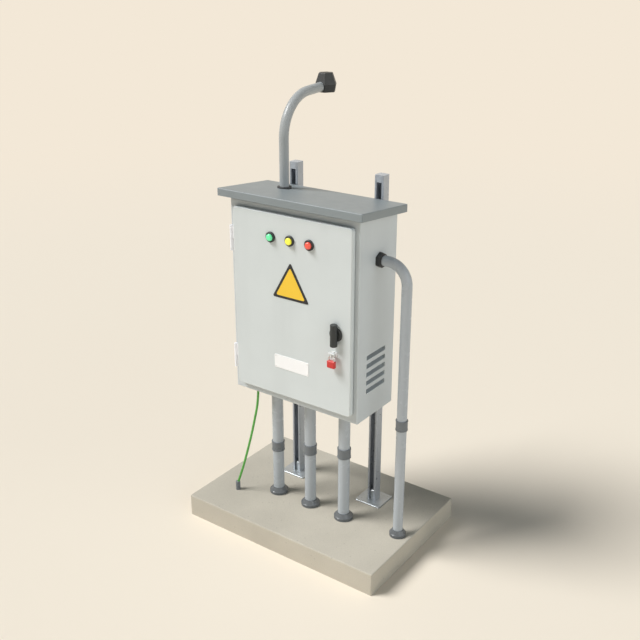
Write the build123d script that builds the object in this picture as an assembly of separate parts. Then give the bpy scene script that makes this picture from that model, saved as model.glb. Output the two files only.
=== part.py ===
from build123d import *
import os
from math import cos, radians, sin, sqrt, tan

# A free-standing outdoor electrical box: a sheet-steel cabinet with a sloping rain canopy, carried by two
# strut posts on a concrete plinth, with conduits into its floor and side and a bent service mast on top.
# Millimetres, +Z up, the door faces -Y. The origin is the centre of the plinth's underside.

# Clearances
SEAT = 0.3  # between pieces of different bodies that rest against each other
RUNNING = 0.05  # radial, on a pin or shaft that turns
SLIP = 0.1  # radial, where a tube or stem is pushed home

# Plinth
PLINTH_X = 940.0
PLINTH_Y = 646.0
PLINTH_H = 97.0
PLINTH_EDGE = 5.0

# Cabinet body
BOX_X = -7.0
BOX_FRONT = -169.0
BOX_W = 600.0
BOX_D = 250.0
BOX_H = 800.0
BOX_BOTTOM = 618.0
SHEET = 2.0
BOX_CORNER = 5.0
RIM_RETURN = 12.0

# Louvres in the right wall
LOUVRE_COUNT = 5
LOUVRE_PITCH = 35.0
LOUVRE_LENGTH = 131.0
LOUVRE_OPEN = 19.0
LOUVRE_SILL = 6.0  # rise of the blade's lower fold
LOUVRE_DEEP = 17.0  # how far the lower fold runs inwards
LOUVRE_LEAN = 22.0  # depth of the blade at its upper edge
LOUVRE_FROM_FRONT = 57.0
LOUVRE_TOP = 268.0  # upper edge of the top one above the cabinet's underside

# Rain canopy
CANOPY_SIDE = 31.0
CANOPY_FRONT = 40.0
CANOPY_BACK = 17.0
CANOPY_FASCIA = 30.0
CANOPY_RISE = 42.0  # front edge of its top above the cabinet's top
CANOPY_DROP = 28.0  # fall from front to back
BRACKET_W = 18.0
BRACKET_INSET = 50.0

# Door
DOOR_MARGIN_LEFT = 27.0
DOOR_MARGIN_RIGHT = 20.0
DOOR_MARGIN_BOTTOM = 33.0
DOOR_MARGIN_TOP = 23.0
DOOR_DEPTH = 19.0
DOOR_GAP = 3.0
DOOR_CORNER = 14.0
DOOR_EDGE = 5.0
DOOR_LIP = 16.0
DOOR_LAP = 17.0  # overlap of the door over the rim's opening
GASKET_INSET = 6.0
GASKET_W = 8.0

# Hinges
HINGE_R = 7.0
HINGE_PIN_R = 3.2
HINGE_H = 100.0
HINGE_LEAF = 1.5
HINGE_FORWARD = 11.0  # axis in front of the cabinet's face
HINGE_ASIDE = 9.0  # axis from the cabinet's left wall
HINGE_LOW = 144.0  # middle of the lower hinge above the cabinet's underside
HINGE_HIGH = 157.0  # middle of the upper hinge below the cabinet's top

# Pilot lamps
LAMP_STEP = 90.0
LAMP_BELOW = 92.0  # axis below the door's upper edge
LAMP_BEZEL_R = 20.5
LAMP_BEZEL_T = 8.0
LAMP_LENS_R = 13.5
LAMP_LENS_OUT = 17.0
LAMP_STEM_R = 10.9
LAMP_REAR = 30.0
LAMP_REAR_D = 34.0
LAMP_NUT_RIM = 5.0  # ring nut beyond its stem
LAMP_COLOURS = ("green", "yellow", "red")

# Plates on the door
TRIANGLE_SIDE = 172.0
TRIANGLE_BORDER = 10.0
TRIANGLE_BELOW = 325.5  # its lower edge below the door's upper edge
TRIANGLE_CORNER = 5.0
TRIANGLE_SHIFT = 4.0
PLATE_T = 1.5
NAMEPLATE_W = 165.0
NAMEPLATE_H = 56.0
NAMEPLATE_HEIGHT = 182.0

# Turning handle
HANDLE_ASIDE = 66.0  # axis from the door's right edge
HANDLE_HEIGHT = 363.0
ESCUTCHEON_R = 28.0
ESCUTCHEON_T = 3.0
KNOB_R = 26.5
KNOB_T = 5.0
GRIP_R = 14.0
GRIP_L = 88.0
GRIP_FLAT = 1.3  # taken off the back of the grip
NECK_R = 11.0
STEM_R = 8.0
STEM_L = 14.0
SOCKET_R = 6.2
SHAFT_SQUARE = 8.0
SHAFT_ENGAGED = 10.0

# Staple and padlock
LOCK_ASIDE = 73.0  # middle from the door's right edge
STAPLE_HEIGHT = 292.0
STAPLE_W = 27.0
STAPLE_OUT = 26.0
STAPLE_HOOD = 12.0  # depth of the plate over the eye
STAPLE_T = 3.0
STAPLE_DROP = 20.0
EYE_R = 4.5
EYE_OUT = 20.0
EYE_DROP = 10.0
SHACKLE_R = 3.0
SHACKLE_HALF = 12.0
SHACKLE_LEG = 7.0
SHACKLE_LONG = 19.0  # of each leg inside the body
SHACKLE_SHORT = 6.0
PADLOCK_W = 35.0
PADLOCK_H = 30.0
PADLOCK_T = 16.0
PADLOCK_ROUND = 5.0

# Posts and their plates
STRUT = 41.0
STRUT_WALL = 2.5
STRUT_SLOT = 22.0
STRUT_LIP = 7.5
STRUT_CORNER = 4.0
RAIL_DEPTH = 21.0
RAIL_OVERHANG = 8.0
RAIL_INSET = 110.0  # from the cabinet's top and underside
POST_PITCH = 403.0
POST_TOP = 1518.0
CAP_T = 3.0
CAP_PLUG = 25.0
BASE_X = 121.0
BASE_Y = 113.0
BASE_T = 6.0
BASE_EDGE = 1.2
BASE_PLUG_H = 42.0

# Bolts and channel nuts
BOLT_R = 5.0
BOLT_HEX = 9.0
BOLT_HEAD = 6.0
BOLT_CLEAR = 0.5
NUT_L = 34.0
NUT_W = 20.0
NUT_T = 7.0
CABINET_BOLT_SHIFT = 150.0

# Floor conduits
CONDUIT_R = 24.0
CONDUIT_WALL = 2.5
CONDUIT_PITCH = 171.0
CONDUIT_SHIFT = 2.0
CONDUIT_BACK = 101.0  # behind the cabinet's face
CONDUIT_END = 22.0  # above the cabinet's floor
COUPLING_OVER = 3.4
COUPLING_RIM = 1.0  # bead at each end
COUPLING_BEAD = 6.0
COUPLING_H = 43.0
COUPLING_MID = 329.0
COUPLING_STEP = 39.5
COLLAR_R = 40.0
COLLAR_RING = 14.0
COLLAR_H = 28.0
COLLAR_EDGE = 2.0
COLLAR_CONE = 3.0  # radial thickness of its upper edge
HUB_R = 31.0
HUB_H = 10.0
LOCKNUT_R = 35.0
LOCKNUT_T = 8.0
LOCKNUT_RIM = 9.0  # corners of the smaller locknuts beyond their tubes

# Side conduit
SIDE_R = 20.0
SIDE_OUT = 121.0  # axis outside the cabinet's right wall
SIDE_BACK = 128.0  # behind the cabinet's face
SIDE_HEIGHT = 630.0  # above the cabinet's underside
SIDE_BEND = 80.0
SIDE_COUPLING_MID = 602.0
SIDE_COLLAR_R = 34.0
GLAND_R = 30.0
GLAND_T = 16.0
GLAND_LIP = 5.0
GLAND_SOCKET = 12.0
GLAND_STUB_R = 16.0

# Service mast
MAST_R = 19.0
MAST_WALL = 2.5
MAST_SHIFT = -165.0
MAST_BACK = 166.0
MAST_RISE = 212.0  # straight part above the cabinet's top
MAST_BEND = 165.0
MAST_TURN = 86.0
MAST_STRAIGHT = 98.0
MAST_FLANGE_R = 32.0
MAST_FLANGE_H = 12.0
GROMMET_R = 28.0
GROMMET_H = 8.0

# Weatherhead
HEAD_R = 47.0
HEAD_TOP_R = 30.5
HEAD_FOOT_R = 41.5
HEAD_FOOT = 30.0  # height of its widest ring above its underside
HEAD_H = 74.0
HEAD_BELOW = 23.0  # underside below the mast's axis
HEAD_CAVITY_R = 26.0
HEAD_CAVITY_H = 60.0
INSERT_T = 6.0
INSERT_HOLE_R = 5.5

# Earth wire, its gland and rod
WIRE_R = 5.0
EARTH_GLAND_R = 13.0
EARTH_GLAND_H = 12.0
EARTH_GLAND_DOME = 14.0
ROD_X = -331.0
ROD_Y = -163.5
ROD_R = 8.0
ROD_H = 28.0
CLAMP_R = 10.0
CLAMP_TOP = 138.0
WIRE_ROUTE = [
    (-238.0, -118.0, 592.0),
    (-241.0, -119.5, 532.0),
    (-253.5, -125.5, 462.0),
    (-269.5, -133.5, 377.0),
    (-289.0, -143.0, 290.0),
    (-306.5, -151.5, 216.0),
    (-320.0, -158.2, 168.0),
    (-328.5, -162.3, CLAMP_TOP),
]

# Equipment inside
PANEL_W = 520.0
PANEL_H = 720.0
PANEL_T = 2.5
PANEL_STAND = 20.0
SPACER_R = 7.0
SPACER_INSET = 28.0
DIN_H = 35.0
DIN_D = 7.5
DIN_CHANNEL = 25.0
DIN_SHEET = 1.0
DIN_LENGTH = 360.0
DIN_SHIFT = -60.0
DIN_LOW = 210.0
DIN_HIGH = 560.0
DIN_HEIGHTS = (DIN_LOW, DIN_HIGH)
ISOLATOR_W = 74.0
ISOLATOR_H = 96.0
ISOLATOR_D = 84.0
ISOLATOR_BORE = 6.5
BREAKER_W = 54.0
BREAKER_H = 85.0
BREAKER_D = 60.0
BREAKER_NOSE_H = 45.0
BREAKER_NOSE_D = 10.0
BREAKER_SHIFT = -170.0
TOGGLE_R = 7.0
TOGGLE_W = 28.0
TOGGLE_PIN_R = 3.0
TOGGLE_LEVER = 18.0
RELAY_W = 45.0
RELAY_H = 78.0
RELAY_D = 66.0
RELAY_SHIFT = -70.0
TERMINAL_COUNT = 20
TERMINAL_PITCH = 8.0
TERMINAL_H = 56.0
TERMINAL_D = 44.0
TERMINAL_SHIFT = -120.0
EARTH_BAR_L = 160.0
EARTH_BAR_H = 14.0
EARTH_BAR_T = 6.0
EARTH_BAR_HEIGHT = 100.0
EARTH_BAR_SHIFT = 40.0
EARTH_BAR_STAND = 16.0
EARTH_BAR_POST_R = 6.0
EARTH_BAR_HOLES = 7
EARTH_BAR_HOLE_R = 2.6

# Places that follow from the sizes above
BOX_LEFT = BOX_X - BOX_W / 2
BOX_RIGHT = BOX_X + BOX_W / 2
BOX_BACK = BOX_FRONT + BOX_D
BOX_TOP = BOX_BOTTOM + BOX_H
DOOR_LEFT = BOX_LEFT + DOOR_MARGIN_LEFT
DOOR_RIGHT = BOX_RIGHT - DOOR_MARGIN_RIGHT
DOOR_BOTTOM = BOX_BOTTOM + DOOR_MARGIN_BOTTOM
DOOR_TOP = BOX_TOP - DOOR_MARGIN_TOP
DOOR_BACK = BOX_FRONT - DOOR_GAP
DOOR_FRONT = DOOR_BACK - DOOR_DEPTH
DOOR_INNER = DOOR_FRONT + SHEET
DOOR_MID = (DOOR_LEFT + DOOR_RIGHT) / 2
HINGE_X = BOX_LEFT + HINGE_ASIDE
HINGE_Y = BOX_FRONT - HINGE_FORWARD
HINGE_MIDS = (BOX_BOTTOM + HINGE_LOW, BOX_TOP - HINGE_HIGH)
LAMP_Z = DOOR_TOP - LAMP_BELOW
HANDLE_X = DOOR_RIGHT - HANDLE_ASIDE
HANDLE_Z = BOX_BOTTOM + HANDLE_HEIGHT
KNOB_BACK = DOOR_FRONT - ESCUTCHEON_T - SEAT
GRIP_Y = KNOB_BACK - GRIP_R + GRIP_FLAT
STEM_END = DOOR_INNER + STEM_L
LOCK_X = DOOR_RIGHT - LOCK_ASIDE
STAPLE_TOP = BOX_BOTTOM + STAPLE_HEIGHT
EYE_Y = DOOR_FRONT - EYE_OUT
EYE_Z = STAPLE_TOP - EYE_DROP
SHACKLE_Z = EYE_Z - (EYE_R - SHACKLE_R) + SEAT
POST_FRONT = BOX_BACK + RAIL_DEPTH
POST_MID = POST_FRONT + STRUT / 2
RAIL_HEIGHTS = (RAIL_INSET, BOX_H - RAIL_INSET)
RAIL_LENGTH = POST_PITCH + STRUT + 2 * RAIL_OVERHANG
POST_XS = {"left": BOX_X - POST_PITCH / 2, "right": BOX_X + POST_PITCH / 2}
CONDUIT_Y = BOX_FRONT + CONDUIT_BACK
CONDUIT_XS = [BOX_X + CONDUIT_SHIFT + (i - 1) * CONDUIT_PITCH for i in range(3)]
SIDE_X = BOX_RIGHT + SIDE_OUT
SIDE_Y = BOX_FRONT + SIDE_BACK
SIDE_Z = BOX_BOTTOM + SIDE_HEIGHT
MAST_X = BOX_X + MAST_SHIFT
MAST_Y = BOX_FRONT + MAST_BACK
CANOPY_FRONT_Y = BOX_FRONT - CANOPY_FRONT
CANOPY_BACK_Y = BOX_BACK + CANOPY_BACK
CANOPY_SLOPE = CANOPY_DROP / (CANOPY_BACK_Y - CANOPY_FRONT_Y)
PANEL_FRONT = BOX_BACK - SHEET - PANEL_STAND - PANEL_T
DIN_FRONT = PANEL_FRONT - DIN_D


# Shape helpers

def block(x0, x1, y0, y1, z0, z1):
    """A rectangular solid between two corners."""
    return Pos((x0 + x1) / 2, (y0 + y1) / 2, (z0 + z1) / 2) * Box(x1 - x0, y1 - y0, z1 - z0)


def upright(x, y, z0, z1, r):
    """A round bar along Z."""
    return Pos(x, y, (z0 + z1) / 2) * Cylinder(r, z1 - z0)


def crosswise(y, z, x0, x1, r):
    """A round bar along X."""
    return Pos((x0 + x1) / 2, y, z) * Rot(0, 90, 0) * Cylinder(r, x1 - x0)


def forward(x, z, y0, y1, r):
    """A round bar along Y."""
    return Pos(x, (y0 + y1) / 2, z) * Rot(90, 0, 0) * Cylinder(r, y1 - y0)


def front_plate(x0, x1, z0, z1, y0, y1, corner):
    """A plate in the door's plane with rounded corners, from y0 back to y1."""
    outline = RectangleRounded(x1 - x0, z1 - z0, corner)
    plane = Plane(origin=((x0 + x1) / 2, y1, (z0 + z1) / 2), x_dir=(1, 0, 0), z_dir=(0, -1, 0))
    return extrude(plane * outline, y1 - y0)


def side_profile(points, x0, x1):
    """A solid whose Y-Z outline is given, from x0 to x1."""
    plane = Plane(origin=(x0, 0, 0), x_dir=(0, 1, 0), z_dir=(1, 0, 0))
    return extrude(plane * make_face(Polyline(*points, close=True)), x1 - x0)


def hexagon_bar(x, y, z0, z1, r, turn=0.0):
    """A six-sided bar along Z, r across its corners."""
    return Pos(x, y, z0) * extrude(Rot(0, 0, turn) * RegularPolygon(r, 6), z1 - z0)


def turned(profile, place):
    """A body turned from a radius and height outline, put at a location."""
    face = make_face(Polyline(*profile, close=True))
    return place * revolve(Plane.XZ * face, Axis.Z)


def tube_along(points, bend, r, wall):
    """A tube of one wall along straight runs joined by bends of one radius."""
    path = FilletPolyline(*points, radius=bend)
    start = Plane(origin=points[0], z_dir=Vector(*points[1]) - Vector(*points[0]))
    return sweep(start * (Circle(r) - Circle(r - wall)), path=path)


def save(name, shape):
    """Writes one piece to its own file."""
    solids = [s for s in shape.solids()]
    export_step(solids[0] if len(solids) == 1 else Compound(children=solids), f"parts/{name}.step")


def canopy_top(y, below=0.0):
    """Height of the canopy's top surface at y, or of a line below it."""
    return BOX_TOP + CANOPY_RISE - CANOPY_SLOPE * (y - CANOPY_FRONT_Y) - below


# Plinth and frame

def plinth():
    body = Pos(0, 0, PLINTH_H / 2) * Box(PLINTH_X, PLINTH_Y, PLINTH_H)
    upper = body.edges().filter_by(Axis.Z) + body.faces().sort_by(Axis.Z)[-1].edges()
    return fillet(upper, PLINTH_EDGE)


def strut_outline(depth):
    """Section of a lipped channel, open towards -Y, centred on its width with its mouth at Y = 0."""
    outer = Pos(0, depth / 2) * RectangleRounded(STRUT, depth, STRUT_CORNER)
    inside = Pos(0, depth / 2) * Rectangle(STRUT - 2 * STRUT_WALL, depth - 2 * STRUT_WALL)
    slot = Pos(0, STRUT_WALL / 2) * Rectangle(STRUT_SLOT, STRUT_WALL)
    section = outer - inside - slot
    for side in (-1, 1):
        centre = side * (STRUT_SLOT + STRUT_WALL) / 2
        section += Pos(centre, (STRUT_WALL / 2 + STRUT_LIP) / 2) * Rectangle(STRUT_WALL, STRUT_LIP - STRUT_WALL / 2)
    return section


def post(x):
    return Pos(x, POST_FRONT, PLINTH_H + BASE_T) * extrude(strut_outline(STRUT), POST_TOP - PLINTH_H - BASE_T)


def post_cap(x):
    plate = Pos(x, POST_MID, POST_TOP) * extrude(RectangleRounded(STRUT, STRUT, STRUT_CORNER), CAP_T)
    half = STRUT_SLOT / 2 - SLIP
    plug = block(x - half, x + half, POST_FRONT, POST_FRONT + STRUT - STRUT_WALL - SLIP, POST_TOP - CAP_PLUG, POST_TOP)
    return plate + plug


def base_plate(x):
    plate = Pos(x, POST_MID, PLINTH_H) * extrude(RectangleRounded(BASE_X, BASE_Y, BASE_T), BASE_T)
    plate = chamfer(plate.faces().sort_by(Axis.Z)[-1].edges(), BASE_EDGE)
    top = PLINTH_H + BASE_T + BASE_PLUG_H
    half = STRUT / 2 - STRUT_WALL - 2 * SLIP
    plug = block(x - half, x + half, POST_FRONT + STRUT_LIP + 1, POST_FRONT + STRUT - STRUT_WALL - SLIP,
                 PLINTH_H + BASE_T, top)
    return plate + chamfer(plug.faces().sort_by(Axis.Z)[-1].edges(), 3)


def rail(height):
    """A shallow channel across both posts, its slot towards the cabinet."""
    z = BOX_BOTTOM + height
    section = Plane(origin=(BOX_X - RAIL_LENGTH / 2, BOX_BACK, z), x_dir=(0, 0, 1), z_dir=(1, 0, 0))
    flipped = mirror(strut_outline(RAIL_DEPTH), about=Plane.XZ)
    body = extrude(section * flipped, RAIL_LENGTH)
    for x in POST_XS.values():
        body -= forward(x, z, POST_FRONT - 2 * STRUT_WALL, POST_FRONT + 1, BOLT_R + BOLT_CLEAR)
    return body


def bolt_back(x, z, seat):
    """A bolt whose head bears on the face at seat and whose shank points to +Y."""
    head = Pos(x, seat, z) * Rot(90, 0, 0) * extrude(RegularPolygon(BOLT_HEX, 6), BOLT_HEAD)
    return head + forward(x, z, seat, seat + RAIL_DEPTH - 2 * STRUT_WALL, BOLT_R)


def channel_nut(x, z, lip_face, upright_nut):
    """A nut plate behind a channel's lips, with the bolt's bore."""
    wide, tall = (NUT_L, NUT_W) if upright_nut else (NUT_W, NUT_L)
    plate = block(x - wide / 2, x + wide / 2, lip_face, lip_face + NUT_T, z - tall / 2, z + tall / 2)
    return plate - forward(x, z, lip_face, lip_face + NUT_T, BOLT_R + RUNNING)


def rail_bolts():
    places = [(x, BOX_BOTTOM + h) for x in POST_XS.values() for h in RAIL_HEIGHTS]
    bolts = [bolt_back(x, z, POST_FRONT - STRUT_WALL) for x, z in places]
    nuts = [channel_nut(x, z, POST_FRONT + STRUT_LIP + SLIP, True) for x, z in places]
    return bolts, nuts


def cabinet_bolts():
    places = [(BOX_X + s * CABINET_BOLT_SHIFT, BOX_BOTTOM + h) for s in (-1, 1) for h in RAIL_HEIGHTS]
    bolts = [bolt_back(x, z, BOX_BACK - SHEET) for x, z in places]
    nuts = [channel_nut(x, z, BOX_BACK + STRUT_LIP + SLIP, False) for x, z in places]
    return places, bolts, nuts


# Cabinet body

def enclosure():
    middle = Pos(BOX_X, (BOX_FRONT + BOX_BACK) / 2, (BOX_BOTTOM + BOX_TOP) / 2)
    outer = Box(BOX_W, BOX_D, BOX_H)
    outer = fillet(outer.edges(), BOX_CORNER)
    inner = Box(BOX_W - 2 * SHEET, BOX_D - 2 * SHEET, BOX_H - 2 * SHEET)
    inner = fillet(inner.edges(), BOX_CORNER - SHEET)
    body = middle * (outer - inner)
    x0, x1 = DOOR_LEFT + DOOR_LAP, DOOR_RIGHT - DOOR_LAP
    z0, z1 = DOOR_BOTTOM + DOOR_LAP, DOOR_TOP - DOOR_LAP
    corner = DOOR_CORNER / 2
    body += front_plate(x0 - SHEET, x1 + SHEET, z0 - SHEET, z1 + SHEET, BOX_FRONT, BOX_FRONT + RIM_RETURN,
                        corner + SHEET)
    body -= front_plate(x0, x1, z0, z1, BOX_FRONT - 1, BOX_FRONT + RIM_RETURN + 1, corner)
    for x in CONDUIT_XS:
        body -= upright(x, CONDUIT_Y, BOX_BOTTOM - 1, BOX_BOTTOM + SHEET + 1, CONDUIT_R + SLIP)
    wire_x, wire_y, _ = WIRE_ROUTE[0]
    body -= upright(wire_x, wire_y, BOX_BOTTOM - 1, BOX_BOTTOM + SHEET + 1, WIRE_R + SLIP)
    body -= crosswise(SIDE_Y, SIDE_Z, BOX_RIGHT - SHEET - 1, BOX_RIGHT + 1, GLAND_STUB_R + SLIP)
    body -= upright(MAST_X, MAST_Y, BOX_TOP - SHEET - 1, BOX_TOP + 1, MAST_R + SLIP)
    for x, z in cabinet_bolts()[0]:
        body -= forward(x, z, BOX_BACK - SHEET - 1, BOX_BACK + 1, BOLT_R + BOLT_CLEAR)
    return louvres(body)


def louvres(body):
    """Lances each slot and folds its blade inwards from the slot's lower edge, closed at both ends."""
    y0 = BOX_FRONT + LOUVRE_FROM_FRONT
    rear, front = [Plane(origin=(0, y, 0), x_dir=(1, 0, 0), z_dir=(0, -1, 0)) for y in (y0 + LOUVRE_LENGTH, y0)]
    for i in range(LOUVRE_COUNT):
        top = BOX_BOTTOM + LOUVRE_TOP - i * LOUVRE_PITCH
        foot = top - LOUVRE_OPEN
        body -= block(BOX_RIGHT - SHEET - 1, BOX_RIGHT + 1, y0, y0 + LOUVRE_LENGTH, foot, top)
        inner = BOX_RIGHT - SHEET
        fold, lip = inner - LOUVRE_DEEP, inner - LOUVRE_LEAN
        blade = Polyline((BOX_RIGHT, foot - SHEET), (BOX_RIGHT, foot), (fold, foot + LOUVRE_SILL), (lip, top),
                         (lip - SHEET, top), (fold - SHEET, foot + LOUVRE_SILL - SHEET), (inner, foot - SHEET),
                         close=True)
        body += extrude(rear * make_face(blade), LOUVRE_LENGTH)
        cheek = Polyline((inner, foot - SHEET), (fold - SHEET, foot + LOUVRE_SILL - SHEET), (lip - SHEET, top),
                         (inner, top), close=True)
        body += extrude(rear * make_face(cheek), -SHEET)
        body += extrude(front * make_face(cheek), SHEET)
    return body


def canopy():
    """A folded cover: one sloping sheet with a skirt on all four sides."""
    x0, x1 = BOX_LEFT - CANOPY_SIDE, BOX_RIGHT + CANOPY_SIDE

    def slab(edge, below, x_in):
        front, back = CANOPY_FRONT_Y + edge, CANOPY_BACK_Y - edge
        deep = CANOPY_FASCIA + (1 if edge else 0)
        return side_profile([(front, canopy_top(front, below)), (back, canopy_top(back, below)),
                             (back, canopy_top(back, deep)), (front, canopy_top(front, deep))], x0 + x_in, x1 - x_in)

    outer = slab(0, 0, 0)
    corners = outer.edges().filter_by(Axis.Z)
    top = outer.faces().sort_by(Axis.Z)[-1].edges()
    outer = fillet(corners + top, 4)
    body = outer - slab(SHEET, SHEET, SHEET)
    hole = upright(MAST_X, MAST_Y, BOX_TOP, BOX_TOP + 2 * CANOPY_RISE, MAST_R + 1)
    return body - hole


def canopy_bracket(side):
    """A folded wedge that stands on the cabinet and carries the canopy's slope."""
    y0, y1 = BOX_FRONT + 2 * BOX_CORNER, BOX_BACK - 2 * BOX_CORNER
    x = BOX_X + side * (BOX_W / 2 - BRACKET_INSET)
    x0, x1 = sorted((x, x - side * BRACKET_W))

    def wedge(inset, a, b):
        return side_profile([(y0, BOX_TOP + inset), (y1, BOX_TOP + inset),
                             (y1, canopy_top(y1, SHEET + inset)), (y0, canopy_top(y0, SHEET + inset))], a, b)

    hollow = (x0 - 1, x1 - SHEET) if side > 0 else (x0 + SHEET, x1 + 1)
    return wedge(0, x0, x1) - wedge(SHEET, *hollow)


# Door

def door_panel():
    outer = front_plate(DOOR_LEFT, DOOR_RIGHT, DOOR_BOTTOM, DOOR_TOP, DOOR_FRONT, DOOR_BACK, DOOR_CORNER)
    outer = fillet(outer.faces().sort_by(Axis.Y)[0].edges(), DOOR_EDGE)

    def inset(edge, y0, y1):
        return front_plate(DOOR_LEFT + edge, DOOR_RIGHT - edge, DOOR_BOTTOM + edge, DOOR_TOP - edge, y0, y1,
                           max(DOOR_CORNER - edge, SHEET))

    body = outer - inset(SHEET, DOOR_INNER, DOOR_BACK - SHEET) - inset(DOOR_LIP, DOOR_BACK - SHEET - 1, DOOR_BACK + 1)
    for x in lamp_xs():
        body -= forward(x, LAMP_Z, DOOR_FRONT - 1, DOOR_INNER + 1, LAMP_STEM_R + SLIP)
    return body - forward(HANDLE_X, HANDLE_Z, DOOR_FRONT - 1, DOOR_INNER + 1, STEM_R + SLIP)


def door_gasket():
    def ring(edge):
        return front_plate(DOOR_LEFT + edge, DOOR_RIGHT - edge, DOOR_BOTTOM + edge, DOOR_TOP - edge,
                           DOOR_BACK, BOX_FRONT - SEAT, DOOR_CORNER)
    return ring(GASKET_INSET) - ring(GASKET_INSET + GASKET_W)


def hinge_body_leaf(mid):
    low, high = mid - HINGE_H / 2, mid + HINGE_H / 2
    knuckle = upright(HINGE_X, HINGE_Y, low, mid - SEAT, HINGE_R)
    leaf = block(BOX_LEFT + BOX_CORNER, DOOR_LEFT - SHEET, BOX_FRONT - HINGE_LEAF, BOX_FRONT, low, high)
    web = block(HINGE_X - HINGE_PIN_R, DOOR_LEFT - SHEET, HINGE_Y, BOX_FRONT, low, mid - SEAT)
    return knuckle + leaf + web - upright(HINGE_X, HINGE_Y, low + SHEET, mid, HINGE_PIN_R + RUNNING)


def hinge_door_leaf(mid):
    low, high = mid + SEAT, mid + HINGE_H / 2
    knuckle = upright(HINGE_X, HINGE_Y, low, high, HINGE_R)
    bridge = block(HINGE_X + HINGE_PIN_R, DOOR_LEFT, HINGE_Y - HINGE_LEAF, HINGE_Y + HINGE_LEAF, low, high)
    flap = block(DOOR_LEFT - 2 * HINGE_LEAF, DOOR_LEFT, DOOR_FRONT + DOOR_EDGE, DOOR_BACK - HINGE_LEAF, low, high)
    return knuckle + bridge + flap - upright(HINGE_X, HINGE_Y, low - 1, high + 1, HINGE_PIN_R + RUNNING)


def hinge_pin(mid):
    top = mid + HINGE_H / 2 + SEAT
    shank = upright(HINGE_X, HINGE_Y, mid - HINGE_H / 2 + SHEET, top, HINGE_PIN_R)
    head = upright(HINGE_X, HINGE_Y, top, top + HINGE_PIN_R, HINGE_R - 1)
    return shank + fillet(head.edges().sort_by(Axis.Z)[-1], HINGE_LEAF)


# Pieces on the door

def lamp_xs():
    return [DOOR_MID + (i - 1) * LAMP_STEP for i in range(3)]


def lamp(x):
    """Bezel with its stem, coloured lens, ring nut and rear block of one pilot lamp."""
    z = LAMP_Z
    face = DOOR_FRONT - LAMP_BEZEL_T
    ring = forward(x, z, face, DOOR_FRONT, LAMP_BEZEL_R)
    ring = chamfer(ring.edges().sort_by(Axis.Y)[0], 2)
    stem_end = DOOR_INNER + LAMP_BEZEL_T + 3 * SHEET
    bezel = ring + forward(x, z, DOOR_FRONT, stem_end, LAMP_STEM_R)
    pocket = LAMP_LENS_R + SLIP
    bezel -= forward(x, z, face - 1, DOOR_FRONT - SHEET, pocket)
    lens = forward(x, z, DOOR_FRONT - LAMP_LENS_OUT, DOOR_FRONT - SHEET, LAMP_LENS_R)
    lens = fillet(lens.edges().sort_by(Axis.Y)[0], LAMP_LENS_R / 2)
    nut = forward(x, z, DOOR_INNER, DOOR_INNER + LAMP_BEZEL_T, LAMP_STEM_R + LAMP_NUT_RIM)
    nut -= forward(x, z, DOOR_INNER - 1, DOOR_INNER + LAMP_BEZEL_T + 1, LAMP_STEM_R + RUNNING)
    half = LAMP_REAR / 2
    rear = front_plate(x - half, x + half, z - half, z + half, stem_end, stem_end + LAMP_REAR_D, 3)
    return bezel, lens, nut, rear


def triangle(side, y0, y1):
    """An equal-sided plate, its lower edge TRIANGLE_BELOW under the door's upper edge when full size."""
    centre = DOOR_TOP - TRIANGLE_BELOW + TRIANGLE_SIDE / sqrt(3) / 2
    plane = Plane(origin=(BOX_X + TRIANGLE_SHIFT, y1, centre), x_dir=(1, 0, 0), z_dir=(0, -1, 0))
    outline = Rot(0, 0, 90) * RegularPolygon(side / sqrt(3), 3)
    return extrude(plane * fillet(outline.vertices(), TRIANGLE_CORNER), y1 - y0)


def triangle_plates():
    border = triangle(TRIANGLE_SIDE, DOOR_FRONT - PLATE_T, DOOR_FRONT)
    inner = TRIANGLE_SIDE - 2 * sqrt(3) * TRIANGLE_BORDER
    field = triangle(inner, DOOR_FRONT - 1.4 * PLATE_T, DOOR_FRONT - PLATE_T / 2)
    return border - triangle(inner, DOOR_FRONT - 2 * PLATE_T, DOOR_FRONT - PLATE_T / 2), field


def nameplate():
    x, z = BOX_X + TRIANGLE_SHIFT, BOX_BOTTOM + NAMEPLATE_HEIGHT
    return front_plate(x - NAMEPLATE_W / 2, x + NAMEPLATE_W / 2, z - NAMEPLATE_H / 2, z + NAMEPLATE_H / 2,
                       DOOR_FRONT - PLATE_T, DOOR_FRONT, 3)


def escutcheon():
    disc = forward(HANDLE_X, HANDLE_Z, DOOR_FRONT - ESCUTCHEON_T, DOOR_FRONT, ESCUTCHEON_R)
    disc = chamfer(disc.edges().sort_by(Axis.Y)[0], 1)
    return disc - forward(HANDLE_X, HANDLE_Z, DOOR_FRONT - ESCUTCHEON_T - 1, DOOR_FRONT + 1, NECK_R + RUNNING)


def handle():
    """Grip, knob, neck and stem in one moulding, with the socket for the isolator's shaft."""
    grip = upright(HANDLE_X, GRIP_Y, HANDLE_Z - GRIP_L / 2, HANDLE_Z + GRIP_L / 2, GRIP_R)
    grip = fillet(grip.edges().filter_by(GeomType.CIRCLE), 3)
    grip -= block(HANDLE_X - GRIP_R, HANDLE_X + GRIP_R, KNOB_BACK, DOOR_FRONT, HANDLE_Z - GRIP_L, HANDLE_Z + GRIP_L)
    knob = forward(HANDLE_X, HANDLE_Z, KNOB_BACK - KNOB_T, KNOB_BACK, KNOB_R)
    grip += chamfer(knob.edges().sort_by(Axis.Y)[0], 2)
    neck = forward(HANDLE_X, HANDLE_Z, GRIP_Y, DOOR_FRONT - SEAT, NECK_R)
    stem = forward(HANDLE_X, HANDLE_Z, DOOR_FRONT - 1, STEM_END, STEM_R)
    return grip + neck + stem - forward(HANDLE_X, HANDLE_Z, STEM_END - STEM_L, STEM_END + 1, SOCKET_R)


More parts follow.
